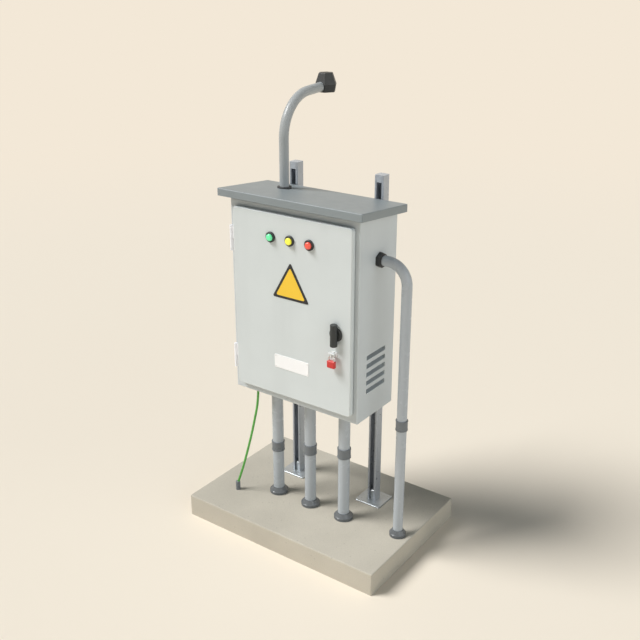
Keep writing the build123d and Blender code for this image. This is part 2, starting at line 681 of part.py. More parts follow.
def staple():
    """A back plate, an eyed web and a hood plate over the eye, pressed and welded as one."""
    x0, x1 = LOCK_X - STAPLE_W / 2, LOCK_X + STAPLE_W / 2
    low = STAPLE_TOP - STAPLE_DROP
    back = block(x0, x1, DOOR_FRONT - SHEET, DOOR_FRONT, low, STAPLE_TOP)
    front = DOOR_FRONT - STAPLE_OUT
    top = block(x0, x1, front, front + STAPLE_HOOD, STAPLE_TOP - STAPLE_T, STAPLE_TOP)
    top = fillet(top.edges().filter_by(Axis.Z), STAPLE_T)
    web = block(LOCK_X - SHEET, LOCK_X + SHEET, front + 1, DOOR_FRONT, low, STAPLE_TOP)
    web = fillet(web.edges().filter_by(Axis.X).group_by(Axis.Y)[0].sort_by(Axis.Z)[0], 5)
    return back + top + web - crosswise(EYE_Y, EYE_Z, x0, x1, EYE_R)


def padlock():
    """Body with rounded edges and a round-bar shackle, one leg longer, through the staple's eye."""
    body_top = SHACKLE_Z - SHACKLE_HALF - SHACKLE_LEG
    left, right = LOCK_X - SHACKLE_HALF, LOCK_X + SHACKLE_HALF
    long_end, short_end = body_top - SHACKLE_LONG, body_top - SHACKLE_SHORT
    body = Pos(LOCK_X, EYE_Y, body_top - PADLOCK_H / 2) * Box(PADLOCK_W, PADLOCK_T, PADLOCK_H)
    body = fillet(body.edges(), PADLOCK_ROUND)
    body -= upright(left, EYE_Y, long_end, body_top + 1, SHACKLE_R + RUNNING)
    body -= upright(right, EYE_Y, short_end, body_top + 1, SHACKLE_R + RUNNING)
    path = FilletPolyline((left, EYE_Y, long_end), (left, EYE_Y, SHACKLE_Z), (right, EYE_Y, SHACKLE_Z),
                          (right, EYE_Y, short_end), radius=SHACKLE_HALF - RUNNING)
    start = Plane(origin=(left, EYE_Y, long_end), z_dir=(0, 0, 1))
    return body, sweep(start * Circle(SHACKLE_R), path=path)


# Equipment inside

def mounting_panel():
    z0 = BOX_BOTTOM + (BOX_H - PANEL_H) / 2
    return front_plate(BOX_X - PANEL_W / 2, BOX_X + PANEL_W / 2, z0, z0 + PANEL_H, PANEL_FRONT,
                       PANEL_FRONT + PANEL_T, 4)


def panel_spacers():
    half_x, half_z = PANEL_W / 2 - SPACER_INSET, PANEL_H / 2 - SPACER_INSET
    middle = BOX_BOTTOM + BOX_H / 2
    return [forward(BOX_X + sx * half_x, middle + sz * half_z, PANEL_FRONT + PANEL_T, BOX_BACK - SHEET, SPACER_R)
            for sx in (-1, 1) for sz in (-1, 1)]


def din_rail(height):
    """A top-hat rail: a channel against the panel with two flanges that clip the equipment."""
    z, h, c = BOX_BOTTOM + height, DIN_H / 2, DIN_CHANNEL / 2
    front, back, t = DIN_FRONT, PANEL_FRONT, DIN_SHEET
    outline = [(front, z + h), (front, z + c - t), (back - t, z + c - t), (back - t, z - c + t),
               (front, z - c + t), (front, z - h), (front + t, z - h), (front + t, z - c), (back, z - c),
               (back, z + c), (front + t, z + c), (front + t, z + h)]
    x0 = BOX_X + DIN_SHIFT - DIN_LENGTH / 2
    return side_profile(outline, x0, x0 + DIN_LENGTH)


def isolator():
    """Switch body with a stepped front and the bore its shaft turns in."""
    x, z = HANDLE_X, HANDLE_Z
    w, h = ISOLATOR_W / 2, ISOLATOR_H / 2
    front = PANEL_FRONT - ISOLATOR_D
    body = block(x - w, x + w, front + ISOLATOR_D / 2, PANEL_FRONT, z - h, z + h)
    body += block(x - w, x + w, front + ISOLATOR_D / 4, PANEL_FRONT, z - h / 2, z + h / 2)
    body += forward(x, z, front, PANEL_FRONT, w / 2)
    return body - forward(x, z, front - 1, PANEL_FRONT - ISOLATOR_D / 4, ISOLATOR_BORE + RUNNING)


def isolator_shaft():
    front = PANEL_FRONT - ISOLATOR_D
    journal = forward(HANDLE_X, HANDLE_Z, front - SHEET, PANEL_FRONT - ISOLATOR_D / 4 - SEAT, ISOLATOR_BORE)
    half = SHAFT_SQUARE / 2
    square = block(HANDLE_X - half, HANDLE_X + half, STEM_END - SHAFT_ENGAGED, front, HANDLE_Z - half, HANDLE_Z + half)
    return journal + square


def breaker():
    """Three-pole breaker body and the toggle that turns on pins in its nose."""
    x, z = BOX_X + BREAKER_SHIFT, BOX_BOTTOM + DIN_HIGH
    w, h = BREAKER_W / 2, BREAKER_H / 2
    face = DIN_FRONT - BREAKER_D
    body = block(x - w, x + w, face, DIN_FRONT, z - h, z + h)
    nose = face - BREAKER_NOSE_D
    body += block(x - w, x + w, nose, face, z - BREAKER_NOSE_H / 2, z + BREAKER_NOSE_H / 2)
    for side in (-1, 1):
        body -= block(x + side * w / 3 - 0.5, x + side * w / 3 + 0.5, nose - 1, nose + 1, z - h, z + h)
    axis_y, axis_z = nose + TOGGLE_R + 1, z
    reach = TOGGLE_W / 2 + 2 * TOGGLE_PIN_R
    body -= block(x - TOGGLE_W / 2 - SEAT, x + TOGGLE_W / 2 + SEAT, nose - 1, axis_y + TOGGLE_R + 1,
                  z - 2 * TOGGLE_R, z + 2 * TOGGLE_R)
    body -= crosswise(axis_y, axis_z, x - reach, x + reach, TOGGLE_PIN_R + RUNNING)
    toggle = crosswise(axis_y, axis_z, x - TOGGLE_W / 2, x + TOGGLE_W / 2, TOGGLE_R)
    toggle += crosswise(axis_y, axis_z, x - reach + SEAT, x + reach - SEAT, TOGGLE_PIN_R)
    lever = Pos(x, axis_y, axis_z) * Rot(-30, 0, 0) * Pos(0, -TOGGLE_LEVER / 2, 0) * Box(
        TOGGLE_W, TOGGLE_LEVER, TOGGLE_R)
    return body, toggle + lever


def relay():
    x, z = BOX_X + RELAY_SHIFT, BOX_BOTTOM + DIN_HIGH
    body = front_plate(x - RELAY_W / 2, x + RELAY_W / 2, z - RELAY_H / 2, z + RELAY_H / 2, DIN_FRONT - RELAY_D,
                       DIN_FRONT, 2)
    return chamfer(body.faces().sort_by(Axis.Y)[0].edges(), 1.5)


def terminals():
    """A row of clamps on the lower rail, parted by grooves."""
    x, z = BOX_X + TERMINAL_SHIFT, BOX_BOTTOM + DIN_LOW
    h, face = TERMINAL_H / 2, DIN_FRONT - TERMINAL_D
    outline = [(DIN_FRONT, z - h), (DIN_FRONT, z + h), (DIN_FRONT - TERMINAL_D / 2, z + h), (face, z + h / 2),
               (face, z - h / 2), (DIN_FRONT - TERMINAL_D / 2, z - h)]
    half = TERMINAL_COUNT * TERMINAL_PITCH / 2
    row = side_profile(outline, x - half, x + half)
    for i in range(1, TERMINAL_COUNT):
        groove = x - half + i * TERMINAL_PITCH
        row -= block(groove - 0.5, groove + 0.5, face - 1, face + 3, z - h, z + h)
    return row


def earth_bar():
    x, z = BOX_X + EARTH_BAR_SHIFT, BOX_BOTTOM + EARTH_BAR_HEIGHT
    front = PANEL_FRONT - EARTH_BAR_STAND - EARTH_BAR_T
    half = EARTH_BAR_L / 2
    bar = block(x - half, x + half, front, front + EARTH_BAR_T, z - EARTH_BAR_H / 2, z + EARTH_BAR_H / 2)
    for i in range(EARTH_BAR_HOLES):
        hole = x - half + (i + 1) * EARTH_BAR_L / (EARTH_BAR_HOLES + 1)
        bar -= forward(hole, z, front - 1, front + EARTH_BAR_T + 1, EARTH_BAR_HOLE_R)
    inset, r = half - EARTH_BAR_POST_R, EARTH_BAR_POST_R
    posts = [forward(x + s * inset, z, front + EARTH_BAR_T, PANEL_FRONT, r) for s in (-1, 1)]
    return bar, posts


# Conduits

def conduit(i):
    """Lower tube, upper tube, coupling, floor collar, hub and locknut of one floor conduit."""
    x, y = CONDUIT_XS[i], CONDUIT_Y
    mid = COUPLING_MID + i * COUPLING_STEP
    bore = CONDUIT_R - CONDUIT_WALL
    foot, end = PLINTH_H, BOX_BOTTOM + SHEET + CONDUIT_END
    lower = upright(x, y, foot, mid - SLIP, CONDUIT_R) - upright(x, y, foot - 1, mid + 1, bore)
    upper = upright(x, y, mid + SLIP, end, CONDUIT_R) - upright(x, y, mid - 1, end + 1, bore)
    sleeve = coupling(x, y, mid, CONDUIT_R)
    collar = floor_collar(x, y, CONDUIT_R, COLLAR_R)
    hub = upright(x, y, BOX_BOTTOM - HUB_H, BOX_BOTTOM, HUB_R)
    hub = chamfer(hub.edges().sort_by(Axis.Z)[0], 2) - upright(x, y, 0, BOX_BOTTOM, CONDUIT_R + SLIP)
    floor = BOX_BOTTOM + SHEET
    nut = hexagon_bar(x, y, floor, floor + LOCKNUT_T, LOCKNUT_R)
    nut -= upright(x, y, floor - 1, floor + LOCKNUT_T + 1, CONDUIT_R + SLIP)
    return lower, upper, sleeve, collar, hub, nut


def coupling(x, y, mid, tube_r):
    """A sleeve over two tube ends with a bead at each of its own ends."""
    r, low, high = tube_r + COUPLING_OVER, mid - COUPLING_H / 2, mid + COUPLING_H / 2
    sleeve = upright(x, y, low, high, r)
    for foot in (low, high - COUPLING_BEAD):
        bead = upright(x, y, foot, foot + COUPLING_BEAD, r + COUPLING_RIM)
        sleeve += fillet(bead.edges().filter_by(GeomType.CIRCLE), COUPLING_RIM)
    return sleeve - upright(x, y, low - 1, high + 1, tube_r + SLIP)


def floor_collar(x, y, tube_r, ring_r):
    """A flanged ring on the plinth that rises in a low cone to the tube."""
    edge, neck = COLLAR_EDGE, tube_r + COLLAR_CONE
    profile = [(tube_r + SLIP, 0), (ring_r, 0), (ring_r, COLLAR_RING - edge), (ring_r - edge, COLLAR_RING),
               (ring_r - 2 * edge, COLLAR_RING), (neck + edge, COLLAR_H - 2 * edge), (neck, COLLAR_H),
               (tube_r + SLIP, COLLAR_H)]
    return turned(profile, Pos(x, y, PLINTH_H))


def side_conduit():
    mid = SIDE_COUPLING_MID
    bore = SIDE_R - CONDUIT_WALL
    lower = upright(SIDE_X, SIDE_Y, PLINTH_H, mid - SLIP, SIDE_R) - upright(SIDE_X, SIDE_Y, 0, mid + 1, bore)
    socket = BOX_RIGHT + GLAND_T + GLAND_LIP - GLAND_SOCKET
    upper = tube_along([(SIDE_X, SIDE_Y, mid + SLIP), (SIDE_X, SIDE_Y, SIDE_Z), (socket, SIDE_Y, SIDE_Z)], SIDE_BEND,
                       SIDE_R, CONDUIT_WALL)
    return lower, upper, coupling(SIDE_X, SIDE_Y, mid, SIDE_R), floor_collar(SIDE_X, SIDE_Y, SIDE_R, SIDE_COLLAR_R)


def side_gland():
    """Six-sided gland body with a round lip, a socket for the tube and a stub through the wall."""
    place = Pos(BOX_RIGHT, SIDE_Y, SIDE_Z) * Rot(0, 90, 0)
    body = extrude(RegularPolygon(GLAND_R, 6), GLAND_T)
    body = chamfer(body.faces().sort_by(Axis.Z)[-1].edges(), 2)
    lip = Pos(0, 0, GLAND_T + GLAND_LIP / 2) * Cylinder(SIDE_R + 5, GLAND_LIP)
    lip = chamfer(lip.edges().sort_by(Axis.Z)[-1], 1.5)
    stub_l = SHEET + LOCKNUT_T + 4
    stub = Pos(0, 0, -stub_l / 2) * Cylinder(GLAND_STUB_R, stub_l)
    height = GLAND_T + GLAND_LIP
    socket = Pos(0, 0, height - GLAND_SOCKET / 2 + 0.5) * Cylinder(SIDE_R + SLIP, GLAND_SOCKET + 1)
    through = Cylinder(GLAND_STUB_R - CONDUIT_WALL, 3 * height)
    nut = Pos(0, 0, -SHEET - LOCKNUT_T) * extrude(RegularPolygon(GLAND_STUB_R + LOCKNUT_RIM, 6), LOCKNUT_T)
    nut -= Cylinder(GLAND_STUB_R + SLIP, 4 * height)
    return place * (body + lip + stub - socket - through), place * nut


# Service mast and weatherhead

def mast_axis():
    """Start, corner and end of the mast's centre line, and the direction of its end."""
    turn = radians(MAST_TURN)
    leg = MAST_BEND * tan(turn / 2)
    heading = Vector(0, sin(turn), cos(turn))
    start = Vector(MAST_X, MAST_Y, BOX_TOP - SHEET - CONDUIT_END)
    corner = Vector(MAST_X, MAST_Y, BOX_TOP + MAST_RISE + leg)
    return start, corner, corner + heading * (leg + MAST_STRAIGHT), heading


def mast():
    start, corner, end, _ = mast_axis()
    return tube_along([tuple(start), tuple(corner), tuple(end)], MAST_BEND, MAST_R, MAST_WALL)


def mast_fittings():
    """Grommet on the canopy, flange on the cabinet and locknut under its top."""
    above = canopy_top(MAST_Y) + GROMMET_H
    grommet = upright(MAST_X, MAST_Y, BOX_TOP, above, GROMMET_R)
    grommet = fillet(grommet.edges().sort_by(Axis.Z)[-1], 3)
    under = side_profile([(CANOPY_FRONT_Y, BOX_TOP - 1), (CANOPY_BACK_Y, BOX_TOP - 1),
                          (CANOPY_BACK_Y, canopy_top(CANOPY_BACK_Y)), (CANOPY_FRONT_Y, canopy_top(CANOPY_FRONT_Y))],
                         BOX_LEFT, BOX_RIGHT)
    bore = upright(MAST_X, MAST_Y, BOX_TOP - 2 * CANOPY_RISE, above + 1, MAST_R + SLIP)
    flange = upright(MAST_X, MAST_Y, BOX_TOP, BOX_TOP + MAST_FLANGE_H, MAST_FLANGE_R)
    flange = chamfer(flange.edges().sort_by(Axis.Z)[-1], 3)
    roof = BOX_TOP - SHEET
    nut = hexagon_bar(MAST_X, MAST_Y, roof - LOCKNUT_T, roof, MAST_R + LOCKNUT_RIM)
    return grommet - under - bore, flange - bore, nut - bore


def weatherhead():
    """A six-sided hood, widest a third of the way up, open below, with its cable insert."""
    _, _, end, heading = mast_axis()
    apothem = HEAD_R * cos(radians(30))
    centre_y = end.Y + HEAD_CAVITY_R - SHEET
    low = end.Z - HEAD_BELOW
    levels = [(0.0, HEAD_FOOT_R), (HEAD_FOOT, HEAD_R), (HEAD_H, HEAD_TOP_R)]
    sections = [Pos(MAST_X, centre_y, low + z) * RegularPolygon(r, 6) for z, r in levels]
    hood = loft(sections[:2]) + loft(sections[1:])
    hood = fillet(hood.faces().sort_by(Axis.Z)[-1].edges(), 4)
    hood -= upright(MAST_X, centre_y, low - 1, low + HEAD_CAVITY_H, HEAD_CAVITY_R)
    start = Plane(origin=end - heading * apothem, z_dir=heading)
    hood -= extrude(start * Circle(MAST_R + SLIP), apothem + HEAD_CAVITY_R / 2)
    insert = upright(MAST_X, centre_y, low + 1, low + 1 + INSERT_T, HEAD_CAVITY_R - SLIP)
    for i in range(3):
        insert -= Pos(MAST_X, centre_y, low) * Rot(0, 0, 120 * i + 30) * Pos(HEAD_CAVITY_R / 2, 0, 0) * Cylinder(
            INSERT_HOLE_R, 4 * INSERT_T)
    start = Plane(origin=end - heading * apothem, z_dir=heading)
    insert -= extrude(start * Circle(MAST_R + SLIP), apothem + SLIP)
    return hood, insert


# Earth wire

def wire_end(start, following):
    """The space that the wire takes up just inside one of its ends."""
    plane = Plane(origin=start, z_dir=Vector(*following) - Vector(*start))
    return extrude(plane * Circle(WIRE_R + SLIP), WIRE_R)


def earth_gland():
    x, y, exit_z = WIRE_ROUTE[0]
    nut = hexagon_bar(x, y, BOX_BOTTOM - EARTH_GLAND_H, BOX_BOTTOM, EARTH_GLAND_R)
    dome_top = BOX_BOTTOM - EARTH_GLAND_H
    dome = upright(x, y, exit_z, dome_top, EARTH_GLAND_R - 3)
    dome = fillet(dome.edges().sort_by(Axis.Z)[0], 3)
    stub = upright(x, y, BOX_BOTTOM, BOX_BOTTOM + EARTH_GLAND_H, WIRE_R)
    return nut + dome + stub - wire_end(WIRE_ROUTE[0], WIRE_ROUTE[1])


def earth_wire():
    """A round wire along straight runs joined by the largest arcs that they allow."""
    points = [Vector(*p) for p in WIRE_ROUTE]
    runs = [b - a for a, b in zip(points, points[1:])]
    radii = []
    for a, b in zip(runs, runs[1:]):
        radii.append(0.45 * min(a.length, b.length) / tan(radians(a.get_angle(b)) / 2))
    print("earth wire bend radii", [round(r) for r in radii], "length", round(sum(r.length for r in runs)))
    path = FilletPolyline(*points, radius=radii)
    tube = sweep(Plane(origin=points[0], z_dir=runs[0]) * Circle(WIRE_R), path=path)
    print("tube volume over section times length", round(tube.volume / (Circle(WIRE_R).area * path.length), 4))
    return tube


def earth_rod():
    rod = upright(ROD_X, ROD_Y, PLINTH_H, PLINTH_H + ROD_H, ROD_R)
    clamp = upright(ROD_X, ROD_Y, PLINTH_H, CLAMP_TOP, CLAMP_R)
    clamp = fillet(clamp.edges().sort_by(Axis.Z)[-1], 2.5)
    clamp -= upright(ROD_X, ROD_Y, PLINTH_H, PLINTH_H + ROD_H, ROD_R + SLIP)
    return rod, clamp - wire_end(WIRE_ROUTE[-1], WIRE_ROUTE[-2])


def build():
    os.makedirs("parts", exist_ok=True)
    frame_pieces()
    cabinet_pieces()
    door_pieces()
    inner_pieces()
    pipe_pieces()


def save_group(name, pieces):
    """Writes several like pieces to one file."""
    save(name, Compound(children=pieces))


def frame_pieces():
    save("plinth", plinth())
    for side, x in POST_XS.items():
        save(f"post_{side}", post(x))
    save_group("post_caps", [post_cap(x) for x in POST_XS.values()])
    save_group("base_plates", [base_plate(x) for x in POST_XS.values()])
    save_group("cross_rails", [rail(height) for height in RAIL_HEIGHTS])
    bolts, nuts = rail_bolts()
    _, box_bolts, box_nuts = cabinet_bolts()
    save_group("frame_bolts", bolts + box_bolts)
    save_group("channel_nuts", nuts + box_nuts)


def cabinet_pieces():
    save("enclosure_body", enclosure())
    save("rain_canopy", canopy())
    save_group("canopy_brackets", [canopy_bracket(side) for side in (-1, 1)])


def door_pieces():
    save("door_panel", door_panel())
    save("door_gasket", door_gasket())
    save_group("hinge_body_leaves", [hinge_body_leaf(mid) for mid in HINGE_MIDS])
    save_group("hinge_door_leaves", [hinge_door_leaf(mid) for mid in HINGE_MIDS])
    save_group("hinge_pins", [hinge_pin(mid) for mid in HINGE_MIDS])
    lamps = [lamp(x) for x in lamp_xs()]
    for colour, pieces in zip(LAMP_COLOURS, lamps):
        save(f"lamp_lens_{colour}", pieces[1])
    save_group("lamp_bezels", [pieces[0] for pieces in lamps])
    save_group("lamp_ring_nuts", [pieces[2] for pieces in lamps])
    save_group("lamp_rear_blocks", [pieces[3] for pieces in lamps])
    border, field = triangle_plates()
    save("triangle_border", border)
    save("triangle_field", field)
    save("nameplate", nameplate())
    save("handle_escutcheon", escutcheon())
    save("handle_grip", handle())
    save("padlock_staple", staple())
    body, shackle = padlock()
    save("padlock_body", body)
    save("padlock_shackle", shackle)


def inner_pieces():
    save("mounting_panel", mounting_panel())
    save_group("din_rails", [din_rail(height) for height in DIN_HEIGHTS])
    save("isolator", isolator())
    save("isolator_shaft", isolator_shaft())
    body, toggle = breaker()
    save("breaker", body)
    save("breaker_toggle", toggle)
    save("control_relay", relay())
    save("terminal_row", terminals())
    bar, posts = earth_bar()
    save("earth_bar", bar)
    save_group("standoffs", panel_spacers() + posts)


def pipe_pieces():
    runs = [conduit(i) for i in range(3)]
    lower, upper, couplings, collars, hubs, locknuts = [list(pieces) for pieces in zip(*runs)]
    side_lower, side_upper, sleeve, collar = side_conduit()
    gland, side_nut = side_gland()
    grommet, flange, mast_nut = mast_fittings()
    save_group("conduit_lower", lower)
    save_group("conduit_upper", upper)
    save_group("conduit_couplings", couplings + [sleeve])
    save_group("conduit_collars", collars + [collar])
    save_group("conduit_hubs", hubs)
    save_group("locknuts", locknuts + [side_nut, mast_nut])
    save("side_conduit_lower", side_lower)
    save("side_conduit_upper", side_upper)
    save("side_gland", gland)
    save("service_mast", mast())
    save("mast_grommet", grommet)
    save("mast_flange", flange)
    hood, insert = weatherhead()
    save("weatherhead", hood)
    save("weatherhead_insert", insert)
    save("earth_gland", earth_gland())
    save("earth_wire", earth_wire())
    rod, clamp = earth_rod()
    save("earth_rod", rod)
    save("earth_clamp", clamp)


build()
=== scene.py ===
import logging
from dataclasses import dataclass
from enum import Enum
from math import cos, radians, sin

import bmesh
import bpy
from mathutils import Matrix, Vector


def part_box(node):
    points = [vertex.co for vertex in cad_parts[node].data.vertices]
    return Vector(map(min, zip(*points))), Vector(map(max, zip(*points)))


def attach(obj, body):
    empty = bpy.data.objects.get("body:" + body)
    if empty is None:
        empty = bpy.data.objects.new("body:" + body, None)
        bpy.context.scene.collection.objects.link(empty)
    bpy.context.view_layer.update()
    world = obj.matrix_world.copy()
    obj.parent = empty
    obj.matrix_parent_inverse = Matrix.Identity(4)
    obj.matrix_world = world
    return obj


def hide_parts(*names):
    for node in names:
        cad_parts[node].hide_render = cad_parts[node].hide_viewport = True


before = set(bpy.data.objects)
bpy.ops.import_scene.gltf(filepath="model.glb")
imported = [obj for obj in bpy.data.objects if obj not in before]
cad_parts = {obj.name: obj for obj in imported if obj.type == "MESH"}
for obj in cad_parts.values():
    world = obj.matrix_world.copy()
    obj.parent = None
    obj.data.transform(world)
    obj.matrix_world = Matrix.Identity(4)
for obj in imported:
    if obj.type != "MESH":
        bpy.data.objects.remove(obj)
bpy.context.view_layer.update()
LOG = logging.getLogger("electrical_box")
MM = 0.001
MM_IN_A_METRE = 1000.0
MERGE_DISTANCE = 1e-6
SCREEN_FULL = 255
SRGB_TOE_END = 0.04045
SRGB_TOE_SLOPE = 12.92
SRGB_OFFSET = 0.055
SRGB_POWER = 2.4
Triple = tuple[float, float, float]
Colour = Triple
WHITE: Colour = (1.0, 1.0, 1.0)


class Body(Enum):
    """The rigid bodies that new pieces ride on."""

    CABINET = "cabinet"
    DOOR = "door"
    PADLOCK_CASE = "padlock_case"


class Facing(Enum):
    """The way in which a small turned piece points."""

    FRONT = (0.0, -1.0, 0.0)
    UP = (0.0, 0.0, 1.0)
    DOWN = (0.0, 0.0, -1.0)


def paint(red: int, green: int, blue: int) -> Colour:
    """Turns a colour as a screen shows it into linear values.

    Args:
        red: Red from 0 to 255.
        green: Green from 0 to 255.
        blue: Blue from 0 to 255.

    Returns:
        The three linear values.
    """
    shares = (red / SCREEN_FULL, green / SCREEN_FULL, blue / SCREEN_FULL)
    return tuple(c / SRGB_TOE_SLOPE if c <= SRGB_TOE_END
                 else ((c + SRGB_OFFSET) / (1.0 + SRGB_OFFSET)) ** SRGB_POWER for c in shares)


def shade(colour: Colour, share: float) -> Colour:
    """Darkens or lightens a colour by a share of itself."""
    return tuple(min(c * share, 1.0) for c in colour)


@dataclass(frozen=True)
class Pattern:
    """A noise or cell pattern, and the span of its values that a blend runs over.

    The scale is in repeats a metre, and the detail counts the octaves of finer noise.
    """

    scale: float
    detail: float = 4.0
    low: float = 0.3
    high: float = 0.7


class Wiring:
    """The node tree of one material, with short ways to add to it."""

    def __init__(self, name: str) -> None:
        """Starts a material with a Principled shader.

        Args:
            name: The material's name.
        """
        self.material = bpy.data.materials.new(name)
        self.material.use_nodes = True
        self.tree = self.material.node_tree
        self.shader = self.tree.nodes["Principled BSDF"]
        self.place = self.tree.nodes.new("ShaderNodeTexCoord").outputs["Object"]

    def stretched(self, scale: Triple) -> bpy.types.NodeSocket:
        """Scales the object coordinates by axis, for streaks and brushing.

        Args:
            scale: The factor along each axis.

        Returns:
            The scaled coordinates.
        """
        mapping = self.tree.nodes.new("ShaderNodeMapping")
        mapping.inputs["Scale"].default_value = scale
        self.tree.links.new(self.place, mapping.inputs["Vector"])
        return mapping.outputs["Vector"]

    def noise(self, pattern: Pattern, along: bpy.types.NodeSocket | None = None) -> bpy.types.NodeSocket:
        """Adds a noise pattern.

        Args:
            pattern: Its scale and detail.
            along: Coordinates to use, or None for plain object coordinates.

        Returns:
            The pattern's value.
        """
        node = self.tree.nodes.new("ShaderNodeTexNoise")
        node.inputs["Scale"].default_value = pattern.scale
        node.inputs["Detail"].default_value = pattern.detail
        self.tree.links.new(along or self.place, node.inputs["Vector"])
        return node.outputs["Fac"]

    def cells(self, pattern: Pattern, output: str = "Distance") -> bpy.types.NodeSocket:
        """Adds a cell pattern.

        Args:
            pattern: Its scale, in cells a metre.
            output: Distance, or Color for one flat value a cell.

        Returns:
            The pattern's output.
        """
        node = self.tree.nodes.new("ShaderNodeTexVoronoi")
        node.inputs["Scale"].default_value = pattern.scale
        self.tree.links.new(self.place, node.inputs["Vector"])
        return node.outputs[output]

    def blend(self, value: bpy.types.NodeSocket, pattern: Pattern, start: Colour, end: Colour
              ) -> bpy.types.NodeSocket:
        """Blends two colours by a value.

        Args:
            value: The value to follow.
            pattern: The span that the blend runs over.
            start: The colour up to the span's low end.
            end: The colour from the span's high end.

        Returns:
            The blended colour.
        """
        node = self.tree.nodes.new("ShaderNodeValToRGB")
        first, last = node.color_ramp.elements
        first.position, last.position = pattern.low, pattern.high
        first.color, last.color = (*start, 1.0), (*end, 1.0)
        self.tree.links.new(value, node.inputs["Fac"])
        return node.outputs["Color"]

    def multiply(self, first: bpy.types.NodeSocket, second: bpy.types.NodeSocket) -> bpy.types.NodeSocket:
        """Multiplies two colours.

        Args:
            first: One colour.
            second: The other colour.

        Returns:
            Their product.
        """
        node = self.tree.nodes.new("ShaderNodeMix")
        node.data_type = "RGBA"
        node.blend_type = "MULTIPLY"
        node.inputs["Factor"].default_value = 1.0
        self.tree.links.new(first, node.inputs["A"])
        self.tree.links.new(second, node.inputs["B"])
        return node.outputs["Result"]

    def colour_from(self, socket: bpy.types.NodeSocket) -> None:
        """Feeds the shader's base colour."""
        self.tree.links.new(socket, self.shader.inputs["Base Color"])

    def roughness_from(self, pattern: Pattern, low: float, high: float) -> None:
        """Lets the roughness follow a noise pattern.

        Args:
            pattern: The noise and its span.
            low: Roughness at the span's low end.
            high: Roughness at the span's high end.
        """
        node = self.tree.nodes.new("ShaderNodeMapRange")
        node.inputs["From Min"].default_value = pattern.low
        node.inputs["From Max"].default_value = pattern.high
        node.inputs["To Min"].default_value = low
        node.inputs["To Max"].default_value = high
        self.tree.links.new(self.noise(pattern), node.inputs["Value"])
        self.tree.links.new(node.outputs["Result"], self.shader.inputs["Roughness"])

    def bump(self, heights: list[tuple[bpy.types.NodeSocket, float]]) -> None:
        """Adds relief from one or more patterns.

        Args:
            heights: Each pattern with its depth in millimetres.
        """
        normal = None
        for value, depth in heights:
            node = self.tree.nodes.new("ShaderNodeBump")
            node.inputs["Distance"].default_value = depth * MM
            self.tree.links.new(value, node.inputs["Height"])
            if normal is not None:
                self.tree.links.new(normal, node.inputs["Normal"])
            normal = node.outputs["Normal"]
        self.tree.links.new(normal, self.shader.inputs["Normal"])

    def set(self, **values: float) -> None:
        """Sets uniform values on the shader's own sockets, with _ for a space."""
        for name, value in values.items():
            self.shader.inputs[name.replace("_", " ")].default_value = value


@dataclass(frozen=True)
class PaintedSteel:
    """Powder coat on sheet or tube, with faint orange peel and rain streaks.

    The wear is the share of its colour that the most worn paint keeps. The peel is a depth in millimetres.
    """

    name: str
    colour: Colour
    roughness: float = 0.42
    peel: float = 0.05
    wear: float = 0.94
    ior: float = 1.5
    mottle: Pattern = Pattern(5.0, detail=3.0, low=0.35, high=0.65)
    streaks: Pattern = Pattern(9.0, detail=5.0, high=0.55)
    streak_scale: Triple = (1.0, 1.0, 0.08)
    sheen: Pattern = Pattern(30.0, detail=3.0)
    smoothest: float = 0.94
    roughest: float = 1.08
    grain: Pattern = Pattern(700.0, detail=2.0)

    def build(self) -> bpy.types.Material:
        """Makes the material.

        Returns:
            The new material.
        """
        board = Wiring(self.name)
        board.set(Metallic=0.0, IOR=self.ior)
        worn = shade(self.colour, self.wear)
        mottle = board.blend(board.noise(self.mottle), self.mottle, worn, self.colour)
        streaks = board.noise(self.streaks, board.stretched(self.streak_scale))
        drips = board.blend(streaks, self.streaks, (self.wear,) * 3, WHITE)
        board.colour_from(board.multiply(mottle, drips))
        board.roughness_from(self.sheen, self.smoothest * self.roughness, self.roughest * self.roughness)
        board.bump([(board.noise(self.grain), self.peel)])
        return board.material


@dataclass(frozen=True)
class GalvanisedSteel:
    """Dipped zinc with spangle, dull and a little cloudy.

    The spangle is the width of one flake in millimetres, and the relief is a depth in millimetres.
    """

    name: str
    colour: Colour
    spangle: float = 9.0
    roughness: float = 0.42
    contrast: float = 0.1
    metallic: float = 0.55
    ior: float = 1.5
    flake_low: float = 0.1
    flake_high: float = 0.9
    flake_gain: float = 0.8
    cloud: Pattern = Pattern(14.0, low=0.35)
    sheen: Pattern = Pattern(60.0)
    smoother: float = 0.08
    rougher: float = 0.12
    grain: Pattern = Pattern(420.0)
    relief: float = 0.05

    def build(self) -> bpy.types.Material:
        """Makes the material.

        Returns:
            The new material.
        """
        board = Wiring(self.name)
        board.set(Metallic=self.metallic, IOR=self.ior)
        flakes = Pattern(MM_IN_A_METRE / self.spangle, low=self.flake_low, high=self.flake_high)
        dull = shade(self.colour, 1.0 - self.contrast)
        bright = shade(self.colour, 1.0 + self.flake_gain * self.contrast)
        spangle = board.blend(board.cells(flakes, "Color"), flakes, dull, bright)
        cloud = board.blend(board.noise(self.cloud), self.cloud, (1.0 - self.contrast,) * 3, WHITE)
        board.colour_from(board.multiply(spangle, cloud))
        board.roughness_from(self.sheen, self.roughness - self.smoother, self.roughness + self.rougher)
        board.bump([(board.noise(self.grain), self.relief)])
        return board.material


